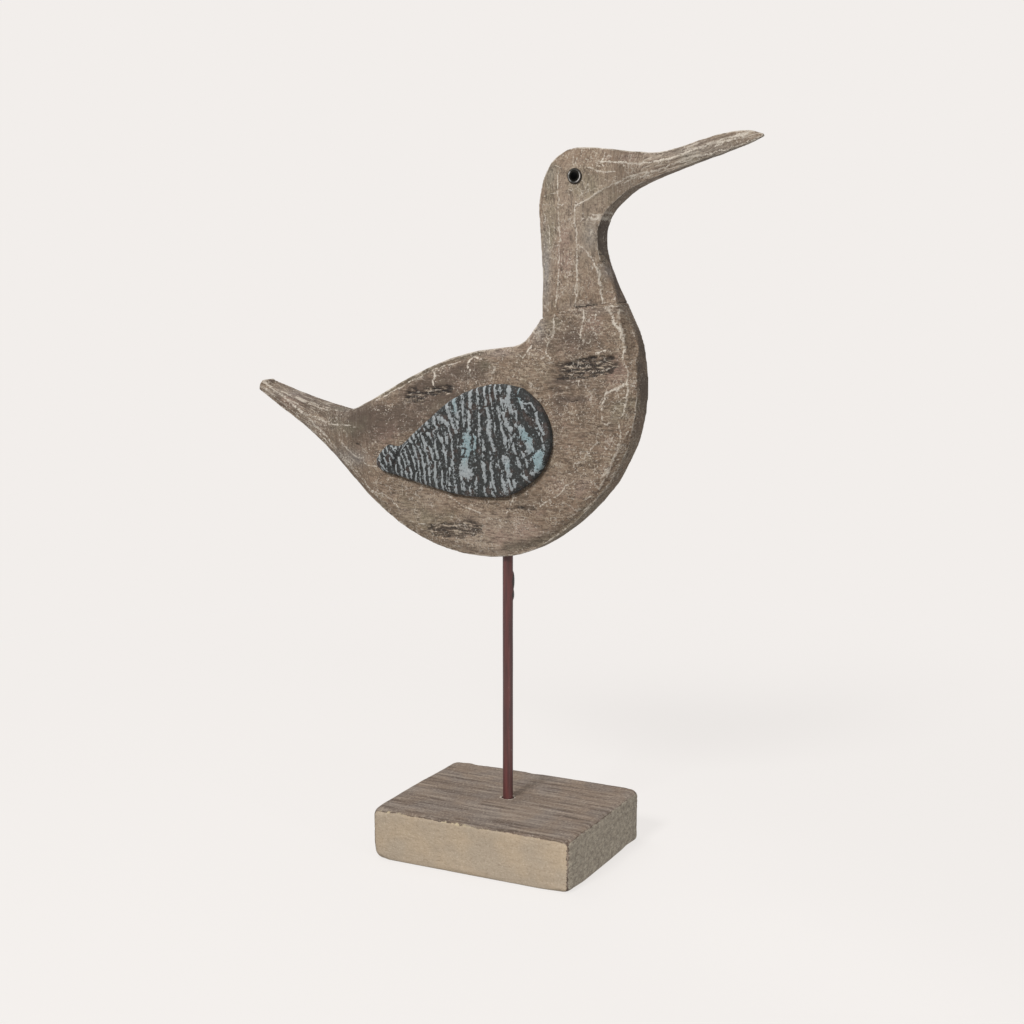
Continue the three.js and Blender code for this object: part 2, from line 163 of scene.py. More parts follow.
BREAST_RIDGES = [
    (0.9, (39, 269.3), (44, 269.4), (48, 270), (51, 270.7), (57, 270.9)),
    (0.5, (57, 270.9), (65.5, 271.2)),
    (1.8, (54, 270.8), (56, 269), (57.6, 266.3), (59, 263.3), (61, 261), (63.5, 258.8)),
    (1.0, (61.2, 259.5), (62, 256.5), (63.6, 254.6), (64.8, 253)),
    (1.2, (64.8, 253), (63.4, 251), (63.4, 247.8)),
    (0.9, (64.3, 246), (65.5, 241), (65.4, 236)),
    (1.2, (65.4, 236), (66, 232), (64.8, 227), (63, 220.5)),
    (1.2, (61.5, 217.5), (62.4, 214), (63, 209.5), (61.3, 205), (58.7, 200)),
    (0.8, (58.7, 200), (56, 196), (53, 191.5), (53.3, 187.5)),
    (1.0, (61.5, 270.5), (63, 267), (64.4, 264), (65.2, 260), (65.2, 254)),
    (0.9, (66, 235.3), (71.3, 233.7)),
    (1.1, (70.6, 239), (71.2, 233), (72, 227), (71.4, 221), (69.5, 213), (67, 207)),
    (1.2, (65.3, 235.5), (61.5, 234), (57.5, 232), (55.8, 231)),
    (0.9, (55.5, 231), (54.6, 228), (53, 225), (53.4, 221), (53.8, 217)),
    (0.9, (53.8, 217), (56, 216.2), (58, 217.3)),
    (1.0, (44, 269), (43.5, 262), (42, 258), (43, 255.5), (46.5, 253.2)),
    (0.7, (51.2, 268), (49.6, 267), (49.2, 263.5), (48.6, 260)),
    (1.0, (28.5, 268), (28.3, 262), (27.7, 257), (25.5, 252), (25, 248.7), (27.7, 246.2)),
    (0.9, (12.3, 246), (14.5, 249), (17, 252.2)),
    (1.0, (50, 249.2), (54, 250.6), (58, 250.4)),
    (0.8, (21.8, 246.4), (24.2, 246.8)),
    (0.6, (41.2, 245), (42, 247.4), (43.8, 248.6)),
    (0.5, (50.5, 245.1), (54, 245.4)),
    (0.6, (52, 241), (55, 242.3), (59, 243)),
    (0.6, (37.5, 240.8), (40.2, 241.4)),
    (0.8, (35.5, 236), (38.5, 235.6), (42.5, 236.4)),
    (0.6, (41.8, 236.2), (42, 234)),
    (0.8, (31, 233), (34, 233.4), (37, 232.4)),
    (0.6, (63.6, 247), (64.6, 243)),
]
BELLY_RIDGES = [
    (0.9, (33, 204.8), (36.2, 202.4)),
    (1.0, (40, 198.2), (42, 198.1), (45.2, 199.2)),
    (0.8, (46.8, 201.5), (47.6, 204.2), (51.5, 208.5)),
    (0.7, (39.8, 189.3), (35, 186.5), (31, 181.5), (26, 179), (22, 176)),
    (0.8, (14.3, 177), (17.8, 176.6), (20.2, 174.8)),
    (0.7, (45, 180.6), (47.6, 182.6)),
    (0.7, (48, 179), (44.2, 174.5), (43.8, 172.5)),
    (0.6, (60, 188), (57, 184), (55, 181)),
    (0.7, (8, 181), (7.3, 176), (4.5, 170.5)),
    (0.7, (-28, 178.5), (-18, 172.8), (-9, 171)),
    (1.0, (-70, 177), (-65, 176.2), (-60, 173), (-56.5, 170)),
    (0.6, (-50, 163.8), (-40, 162.2)),
    (0.8, (-52, 186), (-47, 184.5), (-42, 182.5)),
    (0.6, (-22, 156), (-20, 153)),
]
BACK_RIDGES = [
    (0.6, (-70, 222.5), (-60, 227.6), (-54, 230.4), (-50, 233), (-45, 235.3), (-40, 237.6)),
    (0.6, (-40, 237.6), (-35, 239.8), (-29, 241.6), (-22, 243.4)),
    (0.6, (-49.5, 226.4), (-47, 227.6), (-43, 228.2)),
    (0.5, (-46.6, 225.4), (-44, 225.8)),
    (0.6, (-39, 228.4), (-34, 229.4), (-30, 228.6), (-27, 227.6)),
    (1.1, (-37.8, 238.4), (-35.4, 236), (-36.6, 233.4), (-35.4, 230.8)),
    (1.0, (-9.5, 245), (-14, 245.7), (-17, 243.5), (-17.6, 241), (-15.2, 240), (-16, 237.6)),
    (0.7, (-21, 240), (-18, 238), (-13, 235)),
    (0.7, (-31, 241), (-27, 241.8)),
    (0.8, (-90, 202.2), (-86, 198.5), (-82, 195), (-78, 193)),
    (0.7, (-76, 191.8), (-71.5, 190), (-68, 190.2)),
]
TAIL_RIDGES = [
    (1.1, (-133, 229.3), (-122, 226), (-110, 221.5), (-100, 218.3), (-94.5, 215.6)),
    (0.7, (-116, 216.5), (-106, 213.4), (-100, 211.6), (-96, 211)),
    (0.8, (-103, 209.3), (-93, 209.7), (-86, 209.5), (-79.5, 209)),
    (1.2, (-133, 226.5), (-120, 219.6), (-109, 212), (-100, 204.6), (-91, 196.2), (-80, 186)),
    (0.8, (-80, 186), (-75, 180.5), (-69, 174.6)),
    (0.6, (-128, 223.5), (-118, 219), (-112, 215.5)),
    (0.6, (-107, 222), (-97, 219), (-88, 217.2)),
    (0.6, (-126, 227.8), (-117, 226)),
    (0.6, (-136, 225.4), (-121, 216), (-109, 208.6), (-100, 202.2), (-91, 194)),
    (0.6, (-91, 194), (-80, 183.8), (-72, 176)),
]
BODY_RIDGES = BREAST_RIDGES + BELLY_RIDGES + BACK_RIDGES + TAIL_RIDGES

# The line where neck and body meet
JOINT = [(1.0, (20, 264.2), (28.5, 267.6), (34, 268.9), (40, 270.2), (52, 271.2), (68, 271.8))]

# Thin dark cracks along the grain: width, then (x, z) points
CRACKS = [
    (0.7, (39.5, 270.2), (44, 270.6), (50, 271.6)),
    (1.4, (41.5, 246.2), (44, 246.6), (48, 247.3), (50.5, 247.9)),
    (0.6, (50.5, 247.9), (55, 248.4), (59, 247.8)),
    (1.3, (31, 237.0), (38, 237.3), (44, 238), (50, 238.9)),
    (0.6, (50, 238.9), (58, 240.4)),
    (0.7, (36.2, 240.2), (36.8, 240.4)),
    (0.7, (38, 243), (42, 243.4), (44, 242.6)),
    (0.6, (42, 241.2), (47, 242.2), (52, 243.4)),
    (0.5, (33, 242.6), (36.5, 243.4)),
    (0.7, (30, 237.2), (32.5, 237)),
    (0.7, (49, 306.4), (57, 307.0)),
    (0.6, (50, 298.3), (58, 299.0)),
    (0.6, (50, 294.4), (58, 295.0)),
    (0.6, (50, 291.0), (58, 291.4)),
    (0.5, (25.5, 232.4), (31, 231.6), (36.5, 231.0)),
    (0.5, (33, 227.3), (38, 226.4), (41, 227.2)),
    (0.5, (43, 215.8), (48, 215.4)),
    (0.5, (2.3, 173.0), (6, 174.0), (9, 173.9), (13, 174.8), (18.5, 175.2)),
    (0.7, (40, 194.5), (41.5, 196.2), (43.5, 196.8)),
    (0.6, (-36.5, 156.6), (-32, 156.9), (-27.5, 157.2)),
    (0.6, (-40.5, 160.5), (-37, 161.5), (-33.5, 162.0)),
    (0.6, (-33, 163.2), (-28, 163.4), (-24, 164.8), (-21, 164.0)),
    (0.8, (-39, 227.6), (-34, 228.6), (-28, 230.4)),
    (0.8, (-34, 228.0), (-28.5, 228.2), (-26.5, 228.6)),
    (0.7, (-50.5, 227.5), (-46, 226.8), (-44, 228.0), (-42.5, 227.4)),
    (1.2, (-47, 223.8), (-43, 224.2)),
    (0.7, (-50.8, 227.5), (-51, 223.5)),
    (0.6, (-21.5, 240), (-18, 238.6), (-15.5, 236.5)),
    (0.5, (-45, 234.5), (-42.5, 231.5)),
    (0.8, (-81, 200.8), (-79, 200.3), (-78, 199.4)),
]

# Rough hollows where bark or a knot showed: middle, half size, tilt, depth, and how dark
PITS = [
    {"middle": (45.5, 242.5), "half": (16.0, 5.0), "tilt": 7, "depth": 1.5, "dark": 0.9},
    {"middle": (-46.0, 225.6), "half": (6.4, 3.8), "tilt": 4, "depth": 1.0, "dark": 0.85},
    {"middle": (-33.5, 229.0), "half": (9.5, 2.5), "tilt": 9, "depth": 0.9, "dark": 0.95},
    {"middle": (-24.0, 161.2), "half": (17.0, 4.6), "tilt": 8, "depth": 0.45, "dark": 0.75},
    {"middle": (15.0, 174.8), "half": (5.5, 1.3), "tilt": 4, "depth": 0.4, "dark": 0.5},
]

# Broad changes of tone on the faces, and on the body one patch of painted shadow beside the wing's round
# end: middle, half size, and strength, below 0 where darker
BODY_TONES_AND_SHADOW = [
    ((-68, 212), (20, 9), -1.6),
    ((-42, 226), (16, 8), -1.1),
    ((-18, 239), (20, 6), -1.1),
    ((40, 257), (18, 10), -0.7),
    # Painted shadow beside the round end of the wing
    ((31, 218), (4, 14), -0.5),
    ((14, 178), (14, 5), -0.3),
    ((-30, 161), (14, 4), -0.25),
    ((38, 238), (12, 5), -0.3),
    ((-72, 190), (10, 8), 0.35),
    ((-50, 170), (18, 8), 0.7),
    ((-2, 160), (26, 10), 1.6),
    ((54, 225), (18, 14), -0.3),
    ((36, 186), (14, 8), 0.45),
    ((62, 238), (5, 12), 0.3),
    ((-112, 219), (22, 7), -0.9),
    ((-100, 204), (12, 6), 0.3),
    ((39, 227.5), (9, 1.6), -1.0),
    ((33, 236), (6, 1.8), -0.9),
    ((42, 197.5), (6, 1.8), -0.9),
    ((31, 232), (6, 1.2), -0.6),
    ((61, 243.5), (4.5, 3), -0.9),
    ((-32, 228.5), (14, 3.5), -0.9),
    ((-44, 214), (14, 4), -0.5),
]
HEAD_TONES = [
    ((36, 306), (18, 30), 0.90),
    ((36, 341), (12, 5), -0.2),
    ((52, 322), (12, 8), 0.8),
    ((74, 333), (14, 6), 0.6),
    ((98, 339), (26, 8), 0.45),
    ((64, 337.5), (7, 2.6), -0.6),
    ((44, 271), (10, 3), -0.5),
]

# Where the brown is pinker, or below 0 greener: middle, half size, and strength
BODY_HUES = [
    ((44, 225), (22, 22), 0.3),
    ((50, 262), (8, 8), 0.5),
    ((28, 260), (7, 8), -0.6),
    ((6, 160), (16, 7), 0.7),
    ((36, 186), (12, 6), 0.6),
    ((60, 240), (6, 8), 0.6),
    ((-40, 164), (14, 5), -0.4),
    ((-84, 207), (10, 4), -0.6),
    ((-122, 219), (10, 4), 0.5),
    ((-66, 206), (10, 5), 0.5),
    ((-4, 241), (14, 4), -0.5),
    ((62, 224), (8, 8), -0.5),
]
HEAD_HUES = [
    ((34, 297), (5, 12), 0.9),
    ((80, 336), (30, 8), -0.5),
    ((40, 330), (14, 12), -0.35),
    ((25, 305), (4, 16), -0.7),
    ((25, 331), (4, 8), -0.7),
    ((46, 326), (10, 6), -0.7),
    ((33, 319), (5, 5), 0.5),
    ((64, 337.5), (8, 3), 1.0),
    ((47, 279), (6, 7), 0.3),
    ((78, 331), (14, 3), 0.4),
]

# Flats from a ridge to the front edge: the ridge's top and foot, and width and loss at each
THROAT_FLATS = [
    ((49.3, 287), (51.8, 275.5), (3.0, 5.0), (0.55, 0.50)),
]
BREAST_FLATS = [
    ((60, 271), (65.5, 250), (1.4, 2.5), (0.88, 0.70)),
    ((64, 211), (50, 184), (4.8, 4.8), (0.32, 0.28)),
]

# Where the flats end and the painted shade of the edge begins: height, and depth in the board
THROAT_STRIP = [(273, -3.8), (280, -0.3), (290, 4.2), (293, 0.2), (299, -9)]
BREAST_STRIP = [(228, -2.5), (237, -6.5), (244, -5), (256, 1.4)]

# Darker, greener bevels along the back, belly and tail: width, then (x, z) points
BEVELS = [
    (2.0, (-72, 224), (-56, 231.6), (-42, 238.4), (-28, 243.5), (-12, 248)),
    (3.0, (4, 154.5), (20, 157.5), (31, 162.5), (40, 169)),
    (3.4, (40, 169), (50, 178), (57, 186), (63, 195), (68, 206)),
    (2.2, (-134, 230), (-120, 227), (-105, 223), (-94, 218.6)),
]
BEVEL_SHADE = 0.55

# Places where the edge is fuller than the solid's: middle, half size, and rise
BODY_FULLER = [
    ((54, 193), (7, 10), 0.7),
    ((63, 212), (4, 8), 0.4),
    ((-72, 178), (4, 4), 0.7),
]

# Relief of the carved boards: rises and depths
RIDGE_RISE = 0.34
CUT_RISE = 0.30
SWELL = 0.22
FACE_DROP = 0.42
CRACK_DEPTH = 0.45
BEVEL_DEPTH = 0.5
RIM_CUT_DEPTH = 0.55
FIBRE_RISE = 0.06

# Grey bloom left in sheltered places: middle, half size, and strength
BODY_BLOOM = [
    ((20, 260), (4, 6), 0.9),
    ((-80, 193), (6, 4), 0.7),
    ((-2, 248), (10, 2), 0.5),
    ((-112, 224), (24, 2), 0.7),
    ((-108, 209), (12, 3), 0.5),
    ((-90, 194), (10, 4), 0.6),
    ((52, 269), (14, 2), 0.3),
]
HEAD_BLOOM = [
    ((22.8, 287), (2.6, 16), 1.2),
    ((46, 303), (4, 7), 0.7),
    ((53.5, 287), (3, 3.5), 0.8),
    ((25, 331), (4, 5), 0.4),
    ((98, 340), (28, 6), 0.55),
    ((43, 270.5), (9, 2), 0.5),
]


def smooth(low, high, values):
    """0 below low, 1 above high, and an even turn between."""
    share = np.clip((values - low) / (high - low), 0, 1)
    return share * share * (3 - 2 * share)


def blend(low, high, share):
    return low + (high - low) * share


def lattice(cells, seed):
    """A repeatable number from 0 to 1 for each whole-numbered cell."""
    steps = np.array([73856093, 19349663, 83492791])[: cells.shape[1]]
    code = (cells.astype(np.int64) @ steps + seed * 7919) & 0x7FFFFFFF
    for shift in (15, 13):
        code = ((code ^ (code >> shift)) * 73244475) & 0x7FFFFFFF
    return ((code ^ (code >> 16)) & 0xFFFF) / 65535


def noise(places, size, seed=0, octaves=1):
    """Smooth noise from -1 to 1, with features about size wide, finer in each octave."""
    total = np.zeros(len(places))
    reach = 0.0
    for octave in range(octaves):
        scaled = places / np.asarray(size, float) * 2**octave
        cell = np.floor(scaled)
        part = scaled - cell
        ease = part * part * (3 - 2 * part)
        value = np.zeros(len(places))
        for corner in itertools.product((0, 1), repeat=places.shape[1]):
            weight = np.prod(np.where(corner, ease, 1 - ease), axis=1)
            value += weight * lattice(cell + corner, seed + 31 * octave)
        total += (2 * value - 1) / 2**octave
        reach += 1 / 2**octave
    return total / reach


def wobble(places, size, seed, octaves=1):
    """Two noises side by side, to push places about."""
    return np.column_stack([noise(places, size, seed + step, octaves) for step in (0, 1)])


def knife_cuts(places, size, seed):
    """Knife cuts side by side: share of the way out from a cut's middle, and gap to its border."""
    scaled = places / np.asarray(size, float)
    home = np.floor(scaled)
    nearest = np.full(len(places), FAR_OFF)
    second = nearest.copy()
    for step in itertools.product((-1, 0, 1), repeat=2):
        cell = home + step
        shift = np.column_stack([lattice(cell, seed), lattice(cell, seed + 1)])
        gap = np.linalg.norm(scaled - cell - 0.1 - 0.8 * shift, axis=1)
        second = np.minimum(second, np.maximum(nearest, gap))
        nearest = np.minimum(nearest, gap)
    return np.clip(nearest, 0, 1), (second - nearest) * min(size)


def ridge_gap(places, ridges):
    """Distance from each place to the nearest ridge, as a share of that ridge's width."""
    nearest = np.full(len(places), FAR_OFF)
    for width, *line in ridges:
        points = np.array(line, float)
        for start, end in zip(points, points[1:]):
            run = end - start
            along = np.clip((places - start) @ run / (run @ run), 0, 1)
            gap = np.linalg.norm(places - start - along[:, None] * run, axis=1)
            nearest = np.minimum(nearest, gap / width)
    return nearest


def pit_share(places, pit, scale, seed):
    """How far inside a rough hollow each place is, from 0 outside to 1."""
    turn = math.radians(pit["tilt"])
    along_axis = np.array([math.cos(turn), math.sin(turn)])
    across_axis = np.array([-math.sin(turn), math.cos(turn)])
    offset = places - np.array(pit["middle"])
    turned = np.column_stack([offset @ along_axis, offset @ across_axis])
    along, across = (turned / (np.array(pit["half"]) * scale)).T
    rough = 0.5 * noise(turned, (3.2, 1.1), seed, 2)
    return smooth(1.15, 0.55, np.hypot(along**2, across) + rough)


def read_points(obj):
    """Vertex places in mm, and vertex normals."""
    mesh = obj.data
    points = np.zeros(len(mesh.vertices) * 3)
    mesh.vertices.foreach_get("co", points)
    normals = np.zeros(len(mesh.vertices) * 3)
    mesh.vertex_normals.foreach_get("vector", normals)
    return points.reshape(-1, 3) / MM, normals.reshape(-1, 3)


def write_points(obj, points):
    obj.data.vertices.foreach_set("co", (points * MM).astype(np.float32).ravel())
    obj.data.update()


def neighbour_mean(obj, values, rounds):
    """Values averaged with those of neighbouring vertices, a number of times."""
    mesh = obj.data
    ends = np.zeros(len(mesh.edges) * 2, np.int64)
    mesh.edges.foreach_get("vertices", ends)
    a, b = ends.reshape(-1, 2).T
    count = len(mesh.vertices)
    degree = np.bincount(a, minlength=count) + np.bincount(b, minlength=count)
    for _ in range(rounds):
        total = np.empty_like(values)
        for axis in range(values.shape[1]):
            column = values[:, axis]
            total[:, axis] = np.bincount(a, column[b], count) + np.bincount(b, column[a], count)
        values = 0.5 * values + 0.5 * total / degree[:, None]
    return values


def edge_wear(obj, rounds):
    """How much each vertex stands proud of its surroundings, in mm."""
    points, normals = read_points(obj)
    return np.sum((points - neighbour_mean(obj, points, rounds)) * normals, axis=1)


def keep(obj, name, values):
    """Stores one number or one vector for each vertex, for the materials to read."""
    values = np.asarray(values, np.float32)
    kind = "FLOAT" if values.ndim == 1 else "FLOAT_VECTOR"
    field = "value" if values.ndim == 1 else "vector"
    attribute = obj.data.attributes.new(name, kind, "POINT")
    attribute.data.foreach_set(field, values.ravel())


def add_object(name, data):
    obj = bpy.data.objects.new(name, data)
    bpy.context.scene.collection.objects.link(obj)
    return obj


def finished_mesh(build, name):
    """The mesh of a bmesh, which is freed."""
    mesh = bpy.data.meshes.new(name)
    build.to_mesh(mesh)
    build.free()
    return mesh


def shade_smooth(mesh):
    mesh.polygons.foreach_set("use_smooth", np.ones(len(mesh.polygons), bool))


def fine_copy(node, name, face_size):
    """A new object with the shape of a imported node, remeshed evenly into small faces."""
    build = bmesh.new()
    build.from_mesh(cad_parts[node].data)
    bmesh.ops.remove_doubles(build, verts=build.verts, dist=0.001 * MM)
    rough = finished_mesh(build, name + "_rough")
    obj = add_object(name, rough)
    remesh = obj.modifiers.new("fine", "REMESH")
    remesh.mode = "VOXEL"
    remesh.voxel_size = face_size * MM
    graph = bpy.context.evaluated_depsgraph_get()
    fine = bpy.data.meshes.new_from_object(obj.evaluated_get(graph))
    obj.modifiers.clear()
    obj.data = fine
    fine.materials.clear()
    shade_smooth(fine)
    bpy.data.meshes.remove(rough)
    return obj


def grid_mesh(name, rows, closed_across):
    """A mesh from rows of points in mm, joined row to row and, if closed, all the way across."""
    points = np.asarray(rows, float)
    row_count, column_count, _ = points.shape
    build = bmesh.new()
    verts = [build.verts.new(point * MM) for point in points.reshape(-1, 3)]
    spans = column_count if closed_across else column_count - 1
    for row in range(row_count - 1):
        for column in range(spans):
            near = row * column_count + column
            side = row * column_count + (column + 1) % column_count
            corners = (near, side, side + column_count, near + column_count)
            build.faces.new([verts[corner] for corner in corners])
    if closed_across:
        build.faces.new(verts[:column_count][::-1])
        build.faces.new(verts[-column_count:])
    bmesh.ops.recalc_face_normals(build, faces=build.faces)
    mesh = finished_mesh(build, name)
    shade_smooth(mesh)
    return mesh


def finish_piece(obj, material, slot, *nodes):
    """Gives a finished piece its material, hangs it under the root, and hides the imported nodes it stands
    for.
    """
    obj.data.materials.append(material)
    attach(obj, "root")
    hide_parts(*nodes)


# Numbers of the Mix node's colour sockets
MIX_COLOURS = (6, 7)
MIX_RESULT = 2


class Shader:
    """One node material, built up by short calls that return sockets."""

    def __init__(self, name, roughness):
        self.material = bpy.data.materials.new(name)
        self.material.use_nodes = True
        self.tree = self.material.node_tree
        self.surface = self.tree.nodes["Principled BSDF"]
        self.surface.inputs["Roughness"].default_value = roughness
        coordinates = self.tree.nodes.new("ShaderNodeTexCoord")
        self.places = self.scaled(coordinates.outputs["Object"], (1 / MM,) * 3)

    def add(self, kind, inputs, **settings):
        node = self.tree.nodes.new(kind)
        for key, value in settings.items():
            setattr(node, key, value)
        for key, value in inputs.items():
            if isinstance(value, bpy.types.NodeSocket):
                self.tree.links.new(value, node.inputs[key])
            else:
                node.inputs[key].default_value = value
        return node

    def scaled(self, vector, scale):
        node = self.add("ShaderNodeMapping", {"Vector": vector, "Scale": scale})
        return node.outputs["Vector"]

    def attribute(self, name, output="Fac"):
        node = self.add("ShaderNodeAttribute", {}, attribute_name=name)
        return node.outputs[output]

    def math(self, operation, first, second=0.0):
        node = self.add("ShaderNodeMath", {0: first, 1: second}, operation=operation)
        return node.outputs[0]

    def plus(self, first, second):
        return self.math("ADD", first, second)

    def minus(self, first, second):
        return self.math("SUBTRACT", first, second)

    def times(self, first, second):
        return self.math("MULTIPLY", first, second)

    def swing(self, noise, reach):
        """Noise about 0.5 turned into noise about 0."""
        return self.times(self.minus(noise, 0.5), reach)

    def noise(self, places, size, detail=2.0, roughness=0.5):
        """Noise about 0.5, with features about size mm wide along each axis."""
        steps = (size,) * 3 if isinstance(size, (int, float)) else size
        spread = self.scaled(places, tuple(1 / step for step in steps))
        node = self.add(
            "ShaderNodeTexNoise",
            {"Vector": spread, "Scale": 1.0, "Detail": detail, "Roughness": roughness},
        )
        return node.outputs["Fac"]

    def step(self, value, low, high):
        """0 at low and 1 at high; low may be the larger."""
        node = self.add(
            "ShaderNodeMapRange",
            {"Value": value, "From Min": low, "From Max": high},
            interpolation_type="SMOOTHSTEP",
        )
        return node.outputs["Result"]

    def mix(self, share, low, high):
        """One colour where the share is 0 and the other where it is 1."""
        node = self.add("ShaderNodeMix", {"Factor": share}, data_type="RGBA")
        for index, value in zip(MIX_COLOURS, (low, high)):
            if isinstance(value, bpy.types.NodeSocket):
                self.tree.links.new(value, node.inputs[index])
            else:
                node.inputs[index].default_value = (*value, 1.0)
        return node.outputs[MIX_RESULT]

    def blend(self, share, strength, low, high):
        """As mix, but only up to the given strength."""
        return self.mix(self.times(share, strength), low, high)

    def coat(self, under, over, strength, value, low, high):
        """Lays a colour over another, up to a strength, as a value goes from low to high."""
        return self.blend(self.step(value, low, high), strength, under, over)

    def colour(self, socket):
        self.tree.links.new(socket, self.surface.inputs["Base Color"])

    def bump(self, height, depth):
        """Fine relief, up to depth in mm."""
        node = self.add("ShaderNodeBump", {"Height": height, "Strength": 1.0, "Distance": depth * MM})
        self.tree.links.new(node.outputs["Normal"], self.surface.inputs["Normal"])


# Colours of the bird's wood
PALE_WASH = (0.640, 0.570, 0.480)
DUSTY_PALE = (0.450, 0.370, 0.280)
LIGHT_BROWN = (0.350, 0.266, 0.197)
MID_BROWN = (0.247, 0.172, 0.115)
WALNUT_BROWN = (0.118, 0.082, 0.060)
OLIVE_BROWN = (0.235, 0.208, 0.138)
PINK_BROWN = (0.320, 0.208, 0.165)
GREY_BLOOM = (0.300, 0.278, 0.262)
DARK_BROWN = (0.075, 0.053, 0.038)
BARK_BLACK = (0.014, 0.010, 0.008)
PIT_BROWN = (0.105, 0.076, 0.056)


def carved_wood(name, grain_size, strength):
    """Grey-brown washed wood, rubbed pale on its ridges and dark in its hollows."""
    shade = Shader(name, roughness=0.85)
    grain = shade.attribute("grain", "Vector")
    places = shade.places
    patchy = shade.noise(places, 7, 3, 0.6)
    blotch = shade.noise(places, (3.4, 3.4, 2.2), 3, 0.65)
    fibre = shade.noise(grain, grain_size, 4, 0.65)
    hair = shade.noise(grain, (0.4 * grain_size[0], 0.4 * grain_size[1], 0.85), 3, 0.7)
    grit = shade.noise(places, 0.85, 3, 0.75)
    speck = shade.noise(places, 0.9, 2, 0.6)
    jag = shade.noise(places, 1.0, 3, 0.75)

    uneven = shade.swing(patchy, 1.6)
    tone = shade.plus(shade.attribute("tone"), uneven)
    colour = shade.mix(shade.step(tone, -1.0, 0.05), WALNUT_BROWN, MID_BROWN)
    colour = shade.mix(shade.step(tone, 0.0, 1.0), colour, LIGHT_BROWN)
    hue = shade.plus(shade.attribute("hue"), uneven)
    colour = shade.coat(colour, OLIVE_BROWN, 0.60, hue, 0.0, -0.9)
    colour = shade.coat(colour, PINK_BROWN, 0.60, hue, 0.0, 0.9)
    colour = shade.blend(shade.attribute("bloom"), 0.75, colour, GREY_BLOOM)
    colour = shade.coat(colour, DARK_BROWN, 0.45, blotch, 0.46, 0.30)
    colour = shade.coat(colour, DUSTY_PALE, 0.30, blotch, 0.56, 0.72)
    smeared = shade.step(shade.noise(places, 13, 2), 0.42, 0.58)
    smear = shade.noise(grain, (8, 3, 1.5), 3, 0.6)
    smear = shade.times(shade.step(smear, 0.46, 0.34), smeared)
    colour = shade.blend(smear, 0.60, colour, DARK_BROWN)
    colour = shade.coat(colour, DARK_BROWN, 0.55, fibre, 0.47, 0.32)
    # Painted shade: edges facing away from the lamps, and the darker bevels, go towards dark brown, and
    # pale marks show less there
    dark = shade.attribute("shade")
    colour = shade.blend(dark, 0.90, colour, DARK_BROWN)
    rubbed_outside_shade = shade.times(shade.step(tone, -1.5, -0.1), shade.minus(1.0, dark))
    colour = shade.coat(colour, DARK_BROWN, 0.72 * strength, hair, 0.47, 0.38)
    pale_hair = shade.times(shade.step(hair, 0.54, 0.64), rubbed_outside_shade)
    colour = shade.blend(pale_hair, 0.60 * strength, colour, DUSTY_PALE)
    streaky = shade.attribute("streaky")
    streak = shade.noise(grain, (14, 4, 1.3), 3, 0.65)
    dark_streak = shade.times(shade.step(streak, 0.46, 0.38), streaky)
    pale_streak = shade.times(shade.step(streak, 0.54, 0.62), streaky)
    colour = shade.blend(dark_streak, 0.65, colour, WALNUT_BROWN)
    colour = shade.blend(pale_streak, 0.60, colour, PALE_WASH)
    flecked = shade.times(shade.step(shade.noise(places, 8, 3, 0.6), 0.42, 0.60), rubbed_outside_shade)
    colour = shade.coat(colour, DARK_BROWN, 0.52 * strength, grit, 0.47, 0.37)
    pale_grit = shade.times(shade.step(grit, 0.52, 0.62), flecked)
    colour = shade.blend(pale_grit, 0.75, colour, DUSTY_PALE)

    pit = shade.attribute("pit")
    torn = shade.plus(pit, shade.swing(jag, 0.8))
    pit = shade.times(shade.step(torn, 0.15, 0.45), shade.math("POWER", pit, 0.5))
    threads = shade.noise(grain, (5.0, 1.4, 1.05), 3, 0.75)
    hollow = shade.mix(shade.step(threads, 0.45, 0.51), BARK_BLACK, PIT_BROWN)
    hollow = shade.mix(shade.step(threads, 0.57, 0.62), hollow, DUSTY_PALE)
    colour = shade.mix(pit, colour, hollow)

    dusty = shade.step(shade.noise(places, 12, 2), 0.44, 0.60)
    dots = shade.times(shade.step(speck, 0.60, 0.66), dusty)
    colour = shade.blend(dots, 0.75, colour, PALE_WASH)

    patches = shade.step(shade.noise(places, 3.6, 3, 0.6), 0.38, 0.58)
    kept = shade.plus(shade.times(patches, 0.50), 0.50)
    sparse = shade.step(shade.noise(places, 7.0, 3, 0.6), 0.52, 0.60)
    spread = shade.swing(jag, 2.2)
    line = shade.step(shade.plus(shade.attribute("ridge"), spread), 0.48, 0.18)
    colour = shade.mix(shade.times(line, kept), colour, PALE_WASH)
    web = shade.step(shade.plus(shade.attribute("web"), spread), 0.30, 0.05)
    colour = shade.blend(shade.times(web, sparse), 0.55, colour, PALE_WASH)
    curl = shade.math("ABSOLUTE", shade.minus(shade.noise(places, 4.2, 2, 0.6), 0.5))
    curled = shade.times(shade.step(shade.noise(places, 5.5, 2), 0.52, 0.58), rubbed_outside_shade)
    thread = shade.times(shade.step(curl, 0.020, 0.008), curled)
    colour = shade.blend(thread, 0.55, colour, PALE_WASH)
    proud = shade.plus(shade.attribute("wear"), shade.times(speck, 0.20))
    worn = shade.times(shade.step(proud, 0.22, 0.30), patches)
    colour = shade.blend(worn, 0.65, colour, PALE_WASH)
    split = shade.step(shade.plus(shade.attribute("crack"), spread), 0.60, 0.15)
    colour = shade.blend(split, 0.85, colour, BARK_BLACK)
    shade.colour(colour)

    height = shade.plus(fibre, shade.plus(shade.times(hair, 0.5), grit))
    shade.bump(height, 0.40)
    return shade.material


def blob_sum(places, blobs):
    """Soft blobs of the given strengths added up."""
    total = np.zeros(len(places))
    for middle, half, strength in blobs:
        offset = (places - np.array(middle)) / half
        total += strength * np.exp(-np.sum(offset * offset, axis=1))
    return total


